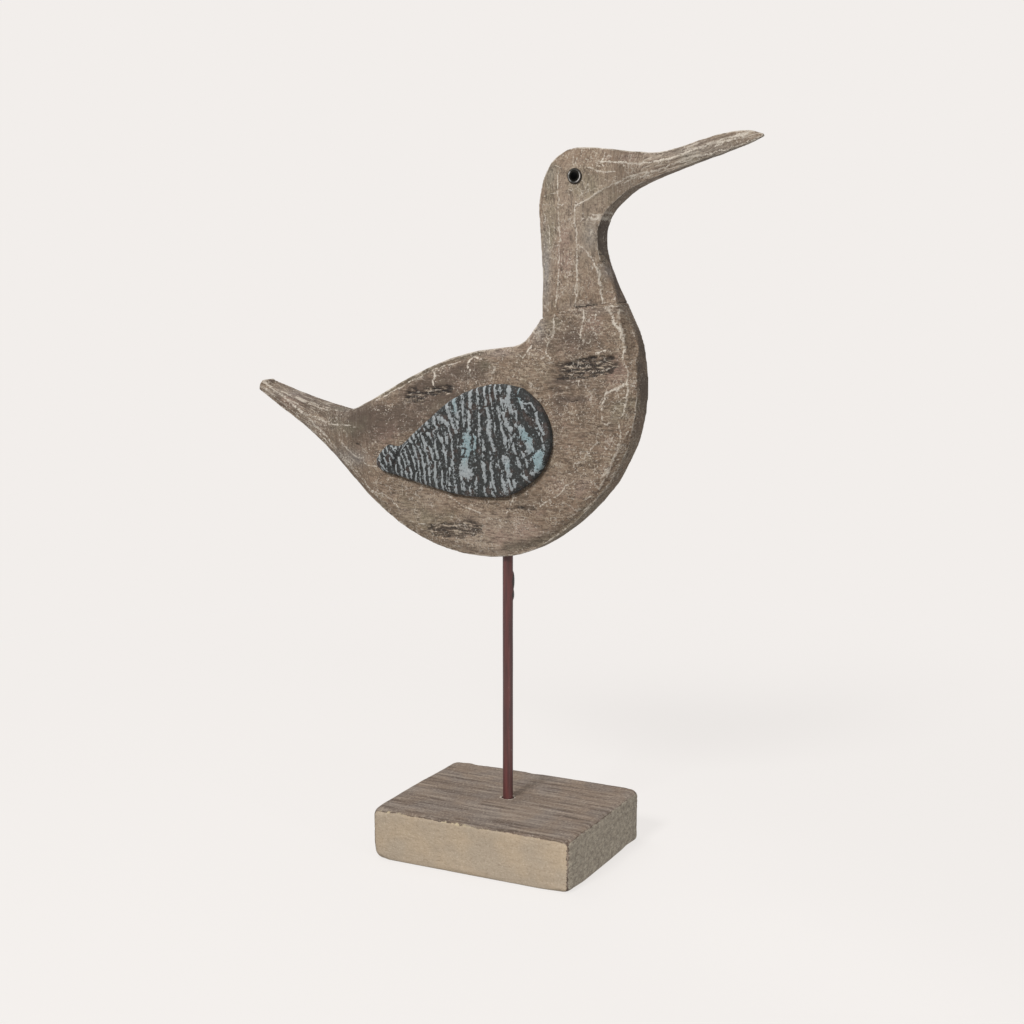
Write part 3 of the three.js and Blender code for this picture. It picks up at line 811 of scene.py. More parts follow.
def carve_board(obj, look):
    """Works the faces and the rim of a board: ridges, cuts, cracks, hollows and tone."""
    seed = look["seed"]
    points, normals = read_points(obj)
    places = points[:, [0, 2]]
    on_face = smooth(0.70, 0.93, np.abs(normals[:, 1]))
    far = points[:, 1] > 0
    wander = wobble(places, 3.4, seed + 1, 2)
    jitter = wobble(places, 1.9, seed + 8)
    drift = wobble(places, 30, seed + 3, 2)
    followed = places + 0.6 * wander + 0.35 * jitter + 6.0 * drift * smooth(1, 5, points[:, 1:2])

    gap = ridge_gap(followed, look["ridges"])
    crest = np.exp(-gap / 1.6)
    cut, border = knife_cuts(places + 2.0 * wander, look["cut_size"], seed + 5)
    crack = np.where(far, FAR_OFF, ridge_gap(places + 0.35 * wander, CRACKS))
    bevel = smooth(1.4, 0.2, ridge_gap(places + 0.6 * wander, BEVELS))
    joint = ridge_gap(places, JOINT)
    relief = RIDGE_RISE * crest + CUT_RISE * cut**2 + SWELL * noise(places, 22, seed + 6, 2) - FACE_DROP
    relief -= CRACK_DEPTH * smooth(1.2, 0.2, crack) + BEVEL_DEPTH * bevel

    pit = np.zeros(len(points))
    near_pit = np.zeros(len(points))
    depth = np.zeros(len(points))
    for number, hole in enumerate(PITS):
        share = np.where(far, 0, pit_share(places, hole, 1.0, seed + 20 + number))
        around = np.where(far, 0, pit_share(places, hole, 1.7, seed + 20 + number))
        pit = np.maximum(pit, share * hole["dark"])
        near_pit = np.maximum(near_pit, around)
        depth = np.maximum(depth, share * hole["depth"])
    threads = noise(points, (5.0, 3.0, 0.8), seed + 40, 2)
    relief -= depth * (0.75 + 0.7 * threads)
    relief *= on_face
    chop, _ = knife_cuts(places, (7, 7), seed + 7)
    on_rim = (1 - on_face) * smooth(3, 7, joint) * look["rim_cuts"]
    relief += RIM_CUT_DEPTH * (chop**2 - 0.35) * on_rim
    near_front = smooth(0.6, 0.9, normals[:, 0]) * smooth(-2.5, -7.5, points[:, 1])
    relief -= look["chips"] * (1 - chop**2) * on_rim * near_front
    relief += FIBRE_RISE * noise(points, (9.0, 4.0, 1.6), seed + 41, 2)
    relief += blob_sum(places, look["fuller"]) * (1 - on_face)
    carved = points + relief[:, None] * normals
    write_points(obj, np.clip(carved, np.array(cad_low) / MM, np.array(cad_high) / MM))

    hidden = np.maximum(smooth(0, 0.3, near_pit), smooth(2.4, 1.2, joint))
    lined = (on_face > 0.4) | (joint < 1.5) | look["lined_rim"]
    keep(obj, "ridge", np.where(lined, gap, OFF_FACE))
    keep(obj, "web", np.where(on_face > 0.4, border + 2 * near_pit, OFF_FACE))
    keep(obj, "crack", crack)
    keep(obj, "pit", pit * on_face)
    keep(obj, "wear", edge_wear(obj, 10) * (1 - hidden))
    keep(obj, "tone", blob_sum(places, look["tones"]) + 0.3 * noise(places, 18, seed + 50, 2))
    keep(obj, "hue", blob_sum(places, look["hues"]) - 0.8 * bevel + 0.5 * noise(places, 15, seed + 51, 2))
    keep(obj, "bloom", blob_sum(places, look["bloom"]))
    # Painted shade of the edges facing away from the lamps, together with the darker bevels
    keep(obj, "shade", np.maximum(BEVEL_SHADE * bevel * on_face, look["shade"](points, normals)))
    return points


def cut_flats(obj, flats):
    """Slants the photographed face away between each ridge and the front edge."""
    points, _ = read_points(obj)
    places = points[:, [0, 2]]
    for top, foot, widths, shares in flats:
        run = np.array(foot, float) - top
        length = np.hypot(*run)
        run /= length
        along = (places - top) @ run / length
        across = (places - top) @ np.array([-run[1], run[0]])
        ends = smooth(-0.45, 0.1, along) * smooth(1.30, 0.95, along)
        part = np.clip(along, 0, 1)
        slant = np.clip(across / blend(*widths, part), 0, 1) * ends * (points[:, 1] < 0)
        points[:, 1] *= 1 - blend(*shares, part) * slant
    write_points(obj, points)


def trim_tail(obj):
    """Slants the cut end of the tail and takes down the corner above it."""
    points, _ = read_points(obj)
    x, y, z = points.T
    upper = smooth(227, 231.5, z)
    at_end = smooth(-132, -138, x)
    at_back = smooth(2, 5, y)
    corner = np.exp(-(((x - blend(-128, -133.5, at_back)) / 5) ** 2))
    points[:, 2] += upper * (at_end * blend(2.2, -0.1, at_back) - corner * blend(0.4, 1.3, at_back))
    points[:, 0] += 1.8 * smooth(227, 232, z) * at_end
    write_points(obj, points)


def past_strip(points, strip):
    """1 in the strip of the edge that takes painted shade, and 0 on the flats beside it."""
    heights, depths = np.array(strip, float).T
    border = np.interp(points[:, 2], heights, depths)
    return smooth(border - 0.8, border + 0.8, points[:, 1])


def breast_painted_shade(points, normals):
    """Painted shade in patches on the upper edge of the board down the breast, where it faces +X away from
    the lamps.
    """
    z = points[:, 2]
    patches = smooth(-0.18, 0.12, noise(points, (8, 8, 9), 90, 2))
    upper = smooth(205, 235, z) * smooth(0.35, 0.75, normals[:, 0])
    return upper * (0.26 + 0.55 * patches) * past_strip(points, BREAST_STRIP)


def throat_painted_shade(points, normals):
    """Painted shade on the wood under the beak and down the throat, where it faces +X or downwards away
    from the lamps: in facets down the throat, and broken into threads along the grain under the beak.
    """
    x, _, z = points.T
    faces_front = smooth(0.42, 0.75, normals[:, 0] - 0.5 * np.minimum(normals[:, 2], 0))
    under_beak = smooth(100, 62, x) * smooth(44, 50, x)
    threads = smooth(-0.3, 0.3, noise(points, (9, 1.4, 9), 92, 2))
    facets = smooth(-0.4, 0.2, noise(points, (3, 6, 3.5), 93, 2))
    throat = blend(0.62, 1.0, facets) * past_strip(points, THROAT_STRIP)
    chin = threads * blend(0.30, 0.75, smooth(58, 50, x))
    return faces_front * under_beak * blend(chin, throat, smooth(314, 307, z))


BODY_LOOK = {
    "seed": 100,
    "ridges": BODY_RIDGES,
    "tones": BODY_TONES_AND_SHADOW,
    "hues": BODY_HUES,
    "bloom": BODY_BLOOM,
    "shade": breast_painted_shade,
    "rim_cuts": 0.45,
    "chips": 1.5,
    "fuller": BODY_FULLER,
    "lined_rim": False,
    "cut_size": (15, 9),
}
HEAD_LOOK = {
    "seed": 200,
    "ridges": HEAD_RIDGES,
    "tones": HEAD_TONES,
    "hues": HEAD_HUES,
    "bloom": HEAD_BLOOM,
    "shade": throat_painted_shade,
    "rim_cuts": 0.6,
    "chips": 0.9,
    "fuller": [],
    "lined_rim": True,
    "cut_size": (8, 13),
}


def close_joint(obj):
    """Raises the body's top over the thin gap below the neck, and a little into it."""
    points, _ = read_points(obj)
    under_neck = smooth(1.6, 0.6, ridge_gap(points[:, [0, 2]], JOINT)) * smooth(21, 23, points[:, 0])
    points[:, 2] += (JOINT_GAP + JOINT_REACH) * under_neck
    write_points(obj, points)


def body_piece():
    obj = fine_copy("body", "body_carving", BODY_FACE)
    close_joint(obj)
    cut_flats(obj, BREAST_FLATS)
    trim_tail(obj)
    points = carve_board(obj, BODY_LOOK)
    x, y, z = points.T
    waves = 1.4 * noise(points, (26, 40, 12), 130, 2)
    in_tail = smooth(-70, -100, x)
    fan = (z - 209 + 0.35 * (x + 90)) * blend(1.0, 1.6, in_tail)
    keep(obj, "grain", np.column_stack([x, y, blend(z + waves, fan, in_tail)]))
    keep(obj, "streaky", 0.9 * in_tail)
    finish_piece(obj, carved_wood("body_wood", (9.0, 4.0, 1.1), 0.9), "carved_wood", "body")


def head_piece():
    obj = fine_copy("head_neck", "head_and_neck_carving", HEAD_FACE)
    cut_flats(obj, THROAT_FLATS)
    points = carve_board(obj, HEAD_LOOK)
    x, y, z = points.T
    on_beak = smooth(52, 72, x) * smooth(300, 315, z)
    along_beak = z - 330 - 0.28 * (x - 65)
    keep(obj, "grain", np.column_stack([blend(z, x, on_beak), y, blend(x, along_beak, on_beak)]))
    keep(obj, "streaky", on_beak)
    finish_piece(obj, carved_wood("neck_wood", (5.0, 3.0, 1.3), 0.62), "carved_wood", "head_neck")


# Paint on the wings
CHARCOAL = (0.024, 0.026, 0.025)
WARM_CHARCOAL = (0.055, 0.040, 0.034)
BRUSHED_PALE = (0.510, 0.525, 0.525)
BRUSHED_GREY = (0.325, 0.350, 0.358)
BRUSHED_BLUE = (0.255, 0.345, 0.365)

# Thick strokes of pale paint left by the brush: width, then (x, z) points
BRUSH_STROKES = [
    (2.0, (7.5, 232.5), (7.6, 226), (8.3, 221)),
    (1.3, (12.5, 232), (12.8, 227.5), (15, 223.5), (18, 220.5)),
    (0.9, (14, 225), (17, 224.6), (19.5, 225.4), (21.5, 222.5)),
    (1.4, (22, 220.5), (22.5, 217), (24.5, 213.5), (26, 211)),
    (0.9, (25, 210.5), (25.6, 207), (26.3, 204.5)),
    (3.2, (24.3, 202), (22.3, 199.5), (24.4, 196), (21.6, 193)),
    (1.2, (14.5, 191.5), (17, 189.5), (18, 187.8)),
    (3.0, (12.5, 215), (15.5, 211), (17.5, 207), (19.5, 204)),
    (1.6, (5, 219.5), (6.5, 215), (9, 212.5)),
    (1.2, (11, 221), (12.5, 216)),
    (1.6, (-3.3, 221), (-2.8, 216), (-3.2, 211), (-1.5, 206), (0, 202)),
    (3.6, (-15.3, 208), (-15, 203), (-15.5, 197), (-16, 189)),
    (3.0, (-17.8, 192), (-15.5, 188), (-13.4, 190.5)),
    (1.6, (-14.2, 220), (-13.6, 214), (-14.4, 208)),
    (1.8, (-18.6, 190.5), (-17.6, 186), (-16.6, 183)),
    (1.3, (-12.6, 192), (-14.6, 187.5)),
    (1.2, (-10.8, 207.5), (-10.5, 203)),
    (1.6, (-22.5, 227), (-21.2, 222), (-20, 217.5)),
    (1.2, (-26.2, 223.5), (-25, 219.5)),
    (1.5, (-24.6, 217.5), (-22.6, 212.5), (-21, 210)),
    (1.3, (-33, 209.5), (-32.2, 202), (-31, 197)),
    (1.3, (-39.6, 208.5), (-37.6, 200)),
    (1.4, (-38.2, 214), (-36.4, 211.8)),
    (1.3, (-33.6, 216), (-31.4, 211)),
    (1.2, (-26.6, 209.5), (-26, 204)),
    (1.3, (-24.4, 192), (-24, 184)),
    (1.3, (-6.2, 207.5), (-5.4, 202)),
    (1.5, (-5.6, 195), (-5, 187)),
    (1.1, (-2.2, 196), (-1, 189), (1, 182.5)),
    (2.2, (5, 199), (6.4, 194), (7.4, 190.5)),
    (1.1, (7.4, 188), (9.6, 183.8)),
    (1.5, (12.4, 199), (13.6, 195)),
    (1.3, (-58.1, 198), (-56.6, 195.3)),
    (0.5, (-58.6, 201.3), (-54, 198)),
    (0.5, (-56.6, 201.8), (-53, 198.8)),
    (0.8, (-61.6, 195), (-59.4, 191.5)),
    (0.5, (-64.4, 193.5), (-60.6, 188.4)),
    (0.5, (-62.4, 191.5), (-59.5, 187.8)),
    (0.45, (-52.6, 198), (-48.4, 203.2)),
]

# Where the paint is bluer, thick but torn, or left off: middle, half size, strength
BLUE_AREAS = [
    ((-15, 202), (5, 10), 1.0),
    ((-10.5, 205), (2, 4), 0.8),
    ((17, 210), (7, 6), 1.0),
    ((24, 198), (5, 6), 1.4),
    ((-22, 223), (3, 5), 1.0),
    ((12, 228), (4, 6), 0.8),
    ((8, 194), (5, 5), 0.4),
]
LACE_AREAS = [
    ((11, 214), (8, 8), 1.0),
    ((19, 202), (7, 7), 1.0),
    ((5, 194), (5, 6), 0.8),
    ((-15.5, 200), (4.5, 13), 0.8),
    ((6, 226), (4, 6), 0.8),
]
BARE_AREAS = [
    ((2.5, 201), (2.2, 9), 0.45),
    ((17.5, 217.5), (3, 4), 0.8),
    ((23, 206.5), (2.4, 2.4), 0.8),
    ((-7.5, 218), (2, 6), 0.25),
    ((-23, 187), (1.6, 2.6), 0.6),
    ((17, 229.5), (5, 3), 0.9),
    ((-7.5, 186), (1.4, 6), 0.4),
]


def wing_edge(points, share):
    """Height of one edge of the wing at each share of the way from its tip to its round end."""
    x, z = np.array(points).T
    turn = np.arccos(1 - 2 * (x - x[0]) / (x[-1] - x[0]))
    return np.interp(np.arccos(1 - 2 * share), turn, z)


def wing_crests(places, seed):
    """Wavy ridges across the wing: 1 on a crest and 0 in a groove, and breaks along each one."""
    x, z = places.T
    rise = z - 205
    to_right = smooth(-15, 12, x)
    fan = (x + 0.20 * rise) / (1 - 0.012 * rise)
    bowed = x + 0.016 * (z - 188) ** 2 * smooth(-20, -42, x) + 0.08 * rise
    sway = 0.9 * noise(places, (6, 9), seed, 2) + 0.55 * noise(places, (1.8, 2.6), seed + 1, 2)
    stops = np.linspace(-85, 70, 300)
    spacing = blend(2.7, 4.3, smooth(-45, -8, stops))
    turns = np.cumsum((stops[1] - stops[0]) / spacing)
    phase = np.interp(blend(bowed, fan, to_right) + sway, stops, turns)
    stroke = np.floor(phase + 0.5)
    start = lattice(stroke[:, None], seed + 2)
    length = blend(8, 17, smooth(-45, 0, x)) * (0.8 + 0.5 * lattice(stroke[:, None], seed + 3))
    along = z / length + start
    gaps = smooth(0.80, 0.98, np.cos(2 * math.pi * along))
    return 0.5 + 0.5 * np.cos(2 * math.pi * phase), gaps


def wing_piece(side, name, node):
    """A carved teardrop plate with wavy ridges and a dry-brushed face."""
    rows = WING_ROWS[side]
    columns = WING_COLUMNS[side]
    seed = WING_SEEDS[side]
    turn = np.linspace(0, math.pi, rows)
    share = np.clip((1 - np.cos(turn)) / 2, WING_MARGIN, 1 - WING_MARGIN)
    across = np.sin(np.linspace(-math.pi / 2, math.pi / 2, columns))
    s, t = np.meshgrid(share, across, indexing="ij")
    length = WING_TOP[-1][0] - WING_TOP[0][0]
    x = WING_TOP[0][0] + length * s
    top = wing_edge(WING_TOP, s)
    bottom = wing_edge(WING_BOTTOM, s)
    z = blend(bottom, top, (1 + t) / 2)
    places = np.column_stack([x.ravel(), z.ravel()])

    edge_gap = np.minimum((1 - np.abs(t)) * (top - bottom) / 2, np.minimum(s, 1 - s) * length).ravel()
    shoulder = np.clip(edge_gap / WING_SHOULDER, 0, 1)
    rounded = np.sqrt(1 - (1 - shoulder) ** 2)
    wander = wobble(places, 2.2, seed + 8, 2)
    comb, gaps = wing_crests(places, seed)
    stroke_gap = ridge_gap(places + 0.7 * wander, BRUSH_STROKES)
    laid = np.exp(-((stroke_gap / 0.78) ** 2))
    comb = comb * (1 - 0.6 * smooth(1.8, 0.9, stroke_gap) * smooth(0.6, 0.9, stroke_gap))
    crest = np.maximum(0.85 * comb * (1 - 0.5 * gaps), laid)
    grit = noise(places, 1.1, seed + 3, 2)
    cleft_x = CLEFT_PLACE[0] + 0.35 * (places[:, 1] - CLEFT_PLACE[1]) + 0.8 * noise(places, 3, seed + 4, 2)
    cleft = np.exp(-(((places[:, 0] - cleft_x) / CLEFT_WIDTH) ** 2)) * smooth(204, 199, places[:, 1])
    rise = blend(WING_WALL, WING_RISE, rounded)
    rise -= shoulder * (WING_GROOVE * (1 - crest) + CLEFT_DEPTH * cleft + WING_GRIT * (1 - grit))

    rim = smooth(3.4, 1.4, edge_gap) * smooth(4, 16, places[:, 0])
    lace = blob_sum(places, LACE_AREAS)
    torn = noise(places @ np.array([[0.94, 0.34], [-0.34, 0.94]]), (1.7, 4.2), seed + 10, 2)
    gain = blend(1.9, 1.4, smooth(-35, -8, places[:, 0]))
    brush = np.maximum(gain * (comb - 0.66) - 0.45 * gaps, 1.3 * laid - 0.70)
    brush = np.maximum(brush, 0.2 * lace - 0.35) + 0.9 * np.clip(lace, 0, 1) * torn
    brush -= blob_sum(places, BARE_AREAS) + 0.6 * cleft + 1.2 * rim * (1 - laid)
    brush += 0.36 * noise(places, (2.2, 5.0), seed + 5, 2) + 0.34 * noise(places, 1.0, seed + 6, 2)
    blue = blob_sum(places, BLUE_AREAS) + 0.35 * noise(places, 7, seed + 7, 2)

    front = np.column_stack([places[:, 0], side * (WING_BASE + rise), places[:, 1]])
    front = front.reshape(rows, columns, 3)
    lip = front[:, [0, -1]].copy()
    lip[:, :, 1] = side * WING_BACK
    walls = [blend(front[:, -1:], lip[:, 1:], step) for step in (0.33, 0.66)]
    other = [blend(lip[:, :1], front[:, :1], step) for step in (0.33, 0.66)]
    around = np.concatenate([front, *walls, lip[:, 1:], lip[:, :1], *other], axis=1)
    obj = add_object(name, grid_mesh(name, around, closed_across=True))

    def spread(values, outside):
        """Values of the front's vertices, with one value for the walls and back."""
        full = np.full(around.shape[:2], outside, float)
        full[:, :columns] = values.reshape(rows, columns)
        return full.ravel()

    keep(obj, "brush", spread(brush, -1.0))
    keep(obj, "blue", spread(blue, 0.0))
    finish_piece(obj, WING_PAINT, "wing_paint", node)


def wing_paint():
    """Charcoal paint in the grooves, pale blue-grey dry-brushed over the crests."""
    shade = Shader("wing_paint", roughness=0.8)
    mottle = shade.noise(shade.places, 5, 3)
    grit = shade.noise(shade.places, 0.95, 3, 0.75)
    flake = shade.noise(shade.places, (1.0, 1.0, 2.4), 3, 0.7)
    ground = shade.mix(shade.step(mottle, 0.52, 0.66), CHARCOAL, WARM_CHARCOAL)
    ground = shade.coat(ground, BRUSHED_GREY, 0.50, grit, 0.55, 0.68)
    ground = shade.coat(ground, BARK_BLACK, 0.75, grit, 0.47, 0.36)
    paint = shade.mix(shade.step(shade.attribute("blue"), 0.25, 0.9), BRUSHED_GREY, BRUSHED_BLUE)
    paint = shade.coat(paint, BRUSHED_PALE, 0.60, flake, 0.54, 0.68)
    paint = shade.coat(paint, CHARCOAL, 0.70, grit, 0.47, 0.34)
    rough = shade.plus(shade.times(grit, 2.3), shade.times(flake, 2.0))
    load = shade.plus(shade.attribute("brush"), rough)
    shade.colour(shade.mix(shade.step(load, 2.15, 2.33), ground, paint))
    shade.bump(grit, 0.35)
    return shade.material


WING_PAINT = wing_paint()

# Rod, and the two drips of dark paint under the belly: height, half length, how proud
ROD_RADIUS = 2.6
ROD_SIDES = 48
ROD_ROWS = 260
DRIPS = [(136.5, 4.6, 0.75), (129.6, 2.6, 0.6)]
DRIP_TURN = math.radians(24)
ROD_RED = (0.118, 0.035, 0.032)
ROD_DARK = (0.060, 0.022, 0.020)


def rod_piece():
    low, high = (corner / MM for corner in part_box("rod"))
    heights = np.linspace(low.z, high.z, ROD_ROWS)
    turns = np.linspace(0, 2 * math.pi, ROD_SIDES, endpoint=False)
    height, turn = np.meshgrid(heights, turns, indexing="ij")
    flat = np.column_stack([height.ravel(), np.cos(turn).ravel() * 4, np.sin(turn).ravel() * 4])
    radius = ROD_RADIUS - 0.06 + 0.05 * noise(flat, (14, 3, 3), 500, 2)
    drip = np.zeros(len(flat))
    aside = np.abs((turn.ravel() - DRIP_TURN + math.pi) % (2 * math.pi) - math.pi)
    for middle, half_length, proud in DRIPS:
        along = (flat[:, 0] - middle) / half_length
        lump = np.clip(1 - along**2 - (aside / 0.8) ** 2, 0, 1)
        radius += proud * np.sqrt(lump)
        drip = np.maximum(drip, smooth(0, 0.4, lump))
    radius = radius.reshape(height.shape)
    rows = np.stack([radius * np.cos(turn), radius * np.sin(turn), height], axis=-1)
    obj = add_object("rod_painted", grid_mesh("rod_painted", rows, closed_across=True))
    keep(obj, "drip", drip)

    shade = Shader("rod_paint", roughness=0.42)
    streak = shade.noise(shade.places, (1.6, 1.6, 24), 3)
    speck = shade.noise(shade.places, 1.1, 2)
    colour = shade.mix(shade.step(streak, 0.35, 0.65), ROD_DARK, ROD_RED)
    colour = shade.mix(shade.step(speck, 0.74, 0.80), colour, PALE_WASH)
    colour = shade.mix(shade.attribute("drip"), colour, BARK_BLACK)
    shade.colour(colour)
    shade.bump(shade.noise(shade.places, (1.2, 1.2, 6), 3), 0.08)
    finish_piece(obj, shade.material, "painted_rod", "rod")


# Eye: radius and how far it stands off the face, from the middle outwards
EYE_PLACE = (38.4, 329.7)
EYE_FACE = 8.2
EYE_PROFILE = [
    (0.0, 1.30),
    (0.7, 1.26),
    (1.4, 1.10),
    (2.0, 0.84),
    (2.35, 0.60),
    (2.50, 0.42),
    (2.62, 0.55),
    (2.80, 0.74),
    (2.98, 0.70),
    (3.12, 0.45),
    (3.30, 0.55),
    (3.50, 0.42),
    (3.60, 0.05),
]

# Painted highlights where the eye's ring catches the light: turn, half width in degrees, and strength
PAINTED_RING_GLINTS = [
    (-20, 48, 1.0),
    (150, 16, 0.9),
    (222, 16, 0.5),
    (185, 24, 0.25),
]
EYE_SIDES = 72
EYE_BLACK = (0.001, 0.001, 0.001)
EYE_EDGE = (0.020, 0.018, 0.015)
RING_DARK = (0.040, 0.040, 0.036)
RING_GREY = (0.085, 0.085, 0.078)
# Colour of the painted highlights on the ring
RING_HIGHLIGHT_COLOUR = (0.62, 0.59, 0.56)
# Painted shade of the gap round the eye
EYE_GAP_SHADE = (0.055, 0.047, 0.040)


def eye_piece(side, name, node):
    """A dark dome in a grey ring with painted highlights, and a thin rim of painted shade around it."""
    turns = np.linspace(0, 2 * math.pi, EYE_SIDES, endpoint=False)
    rows = []
    radii = []
    for radius, height in EYE_PROFILE:
        out = max(radius, 0.02)
        x = EYE_PLACE[0] + out * np.cos(turns)
        y = np.full(EYE_SIDES, side * (EYE_FACE + height))
        z = EYE_PLACE[1] + out * np.sin(turns)
        rows.append(np.column_stack([x, y, z]))
        radii.append(np.full(EYE_SIDES, radius))
    obj = add_object(name, grid_mesh(name, rows, closed_across=True))
    keep(obj, "radius", np.concatenate(radii))
    # Painted highlights at these turns round the ring
    degrees = np.degrees(np.tile(turns, len(EYE_PROFILE)))
    glint = np.zeros(len(degrees))
    for middle, half, strength in PAINTED_RING_GLINTS:
        aside = (degrees - middle + 180) % 360 - 180
        glint += strength * np.exp(-((aside / half) ** 4))
    keep(obj, "glint", glint)
    finish_piece(obj, EYE_FINISH, "eye", node)


def eye_finish():
    shade = Shader("eye_finish", roughness=0.5)
    shade.surface.inputs["Specular IOR Level"].default_value = 0.02
    out = shade.attribute("radius")
    smudge = shade.noise(shade.places, 0.8, 3)
    dome = shade.mix(shade.step(out, 1.4, 2.4), EYE_BLACK, EYE_EDGE)
    ring = shade.mix(shade.step(smudge, 0.35, 0.65), RING_DARK, RING_GREY)
    # Painted highlights over the ring
    ring = shade.mix(shade.attribute("glint"), ring, RING_HIGHLIGHT_COLOUR)
    colour = shade.mix(shade.step(out, 2.54, 2.66), dome, ring)
    # Painted shade in the gap between the eye and the face
    colour = shade.mix(shade.step(out, 2.98, 3.10), colour, EYE_GAP_SHADE)
    shade.colour(colour)
    return shade.material


EYE_FINISH = eye_finish()

# Colours of the block
BLOCK_FRONT = (0.446, 0.347, 0.242)
BLOCK_FRONT_GREY = (0.402, 0.324, 0.240)
BLOCK_FRONT_DARK = (0.200, 0.140, 0.088)
BLOCK_FRONT_PALE = (0.620, 0.530, 0.410)
BLOCK_TOP = (0.222, 0.164, 0.120)
BLOCK_TOP_GREY = (0.206, 0.166, 0.136)
BLOCK_TOP_DARK = (0.075, 0.050, 0.037)
BLOCK_TOP_PALE = (0.400, 0.335, 0.270)
BLOCK_END = (0.330, 0.288, 0.222)
BLOCK_END_DARK = (0.185, 0.155, 0.120)
BLOCK_END_PALE = (0.420, 0.385, 0.310)
BLOCK_CHIP = (0.530, 0.440, 0.280)
# Painted shadow along the worn edges of the block
BLOCK_EDGE_SHADOW = (0.060, 0.038, 0.024)

# Block: height of its foot, radius of its upright corners, and the depth of its wear
BLOCK_FOOT = 0.0
BLOCK_CORNER = 4.8
RAGGED_DEPTH = 2.0
GROOVE_DEPTH = 0.30
END_GRAIN_DEPTH = 0.35
SIDE_GRAIN_DEPTH = 0.16
SIDE_HOLLOW_DEPTH = 0.35
TOP_WEAR = 1.3

# Where the top front edge is chipped pale: place along the block, half width, strength
BLOCK_CHIPS = [((-44,), (9,), 1.0), ((-8,), (9,), 1.0), ((14,), (5,), 0.6)]


def wear_round(points, low, high, height_at, radius):
    """Wears round the edge where the block's walls meet its top or its foot."""
    offset = points[:, :2] - (low + high)[:2] / 2
    reach = np.abs(offset) - ((high - low)[:2] / 2 - BLOCK_CORNER)
    nearer = reach.max(axis=1, keepdims=True)
    out = np.where(nearer > 0, np.maximum(reach, 0), (reach == nearer) * 1.0)
    length = np.linalg.norm(out, axis=1)
    out *= np.sign(offset) / length[:, None]
    inside = BLOCK_CORNER - np.where(nearer[:, 0] > 0, length, nearer[:, 0])
    drop = np.abs(points[:, 2] - height_at)
    span = np.hypot(radius - inside, radius - drop)
    worn = (inside < radius) & (drop < radius) & (span > radius)
    share = np.where(worn, 1 - radius / np.maximum(span, 0.01), 0)
    points[:, :2] -= (share * (radius - inside))[:, None] * out
    points[:, 2] += share * (radius - drop) * (1 if height_at < high[2] / 2 else -1)


def block_piece():
    """The worn block: rounded corners, ragged top edges, open grain."""
    obj = fine_copy("base_block", "block_worn", BLOCK_FACE)
    points, normals = read_points(obj)
    low, high = (np.array(corner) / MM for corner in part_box("base_block"))
    from_low = points - low
    from_high = high - points
    to_top = from_high[:, 2]
    to_face = np.minimum(from_low[:, 1], from_high[:, 1])
    to_end = np.minimum(from_low[:, 0], from_high[:, 0])
    upright = smooth(0.8, 0.3, np.abs(normals[:, 2]))

    near_top_edge = np.exp(-to_top / 1.3) * np.exp(-np.minimum(to_face, to_end) / 1.3)
    ragged = smooth(-0.1, 0.9, noise(points, (6, 6, 3), 600, 3))
    grooves = noise(points, (60, 1.3, 12), 601, 3)
    on_top = smooth(0.6, 0.95, normals[:, 2])
    on_end = smooth(0.6, 0.95, np.abs(normals[:, 0]))
    relief = -RAGGED_DEPTH * near_top_edge * ragged
    relief -= GROOVE_DEPTH * on_top * smooth(0.0, 0.7, -grooves)
    relief -= END_GRAIN_DEPTH * on_end * smooth(0.0, 0.8, noise(points, (4, 4, 1.6), 603, 3))
    relief -= SIDE_GRAIN_DEPTH * upright * smooth(0.1, 0.9, noise(points, (9, 9, 1.2), 604, 2))
    sheltered = smooth(low[0] + 2, low[0] + 12, points[:, 0])
    hollowed = smooth(-0.3, 0.7, noise(points, (26, 26, 14), 605, 2))
    relief -= SIDE_HOLLOW_DEPTH * hollowed * upright * sheltered
    on_bottom = normals[:, 2] < -0.5
    relief[on_bottom] = 0
    points += relief[:, None] * normals

    x, y, z = points.T
    plan = points[:, :2]
    at_left = smooth(low[0] + 15, low[0] + 4, x)
    at_right = smooth(high[0] - 12, high[0] - 4, x)
    left_top = blend(4.2, 3.2, smooth(-40, 10, y)) + 0.9 * noise(plan, 16, 610, 2)
    right_top = 2.4 + 1.4 * smooth(0, 40, y) + 0.8 * noise(plan, 9, 611, 2)
    top_wear = TOP_WEAR + 0.5 * noise(plan, 8, 612, 2)
    top_wear += at_left * (left_top - TOP_WEAR) + at_right * (right_top - TOP_WEAR)
    foot_wear = 1.6 + 1.2 * noise(plan, 13, 613, 2)
    near_corner = smooth(20, 4, np.hypot(x - high[0], y - low[1]))
    foot_wear += 2.0 * at_left + 0.6 * at_right + 1.4 * near_corner
    wear_round(points, low, high, high[2], top_wear)
    wear_round(points, low, high, BLOCK_FOOT, np.maximum(foot_wear, 0.4))
    points[:, 0] += 0.7 * at_left * smooth(9, 2, z)
    write_points(obj, np.clip(points, low, high))

    keep(obj, "front", np.minimum(to_top, to_end) - to_face)
    keep(obj, "end", np.minimum(to_top, to_face) - to_end)
    keep(obj, "foot", np.hypot(points[:, 0], points[:, 1]))
    keep(obj, "chip", blob_sum(points[:, :1], BLOCK_CHIPS))
    finish_piece(obj, block_wood(), "block_wood", "base_block")


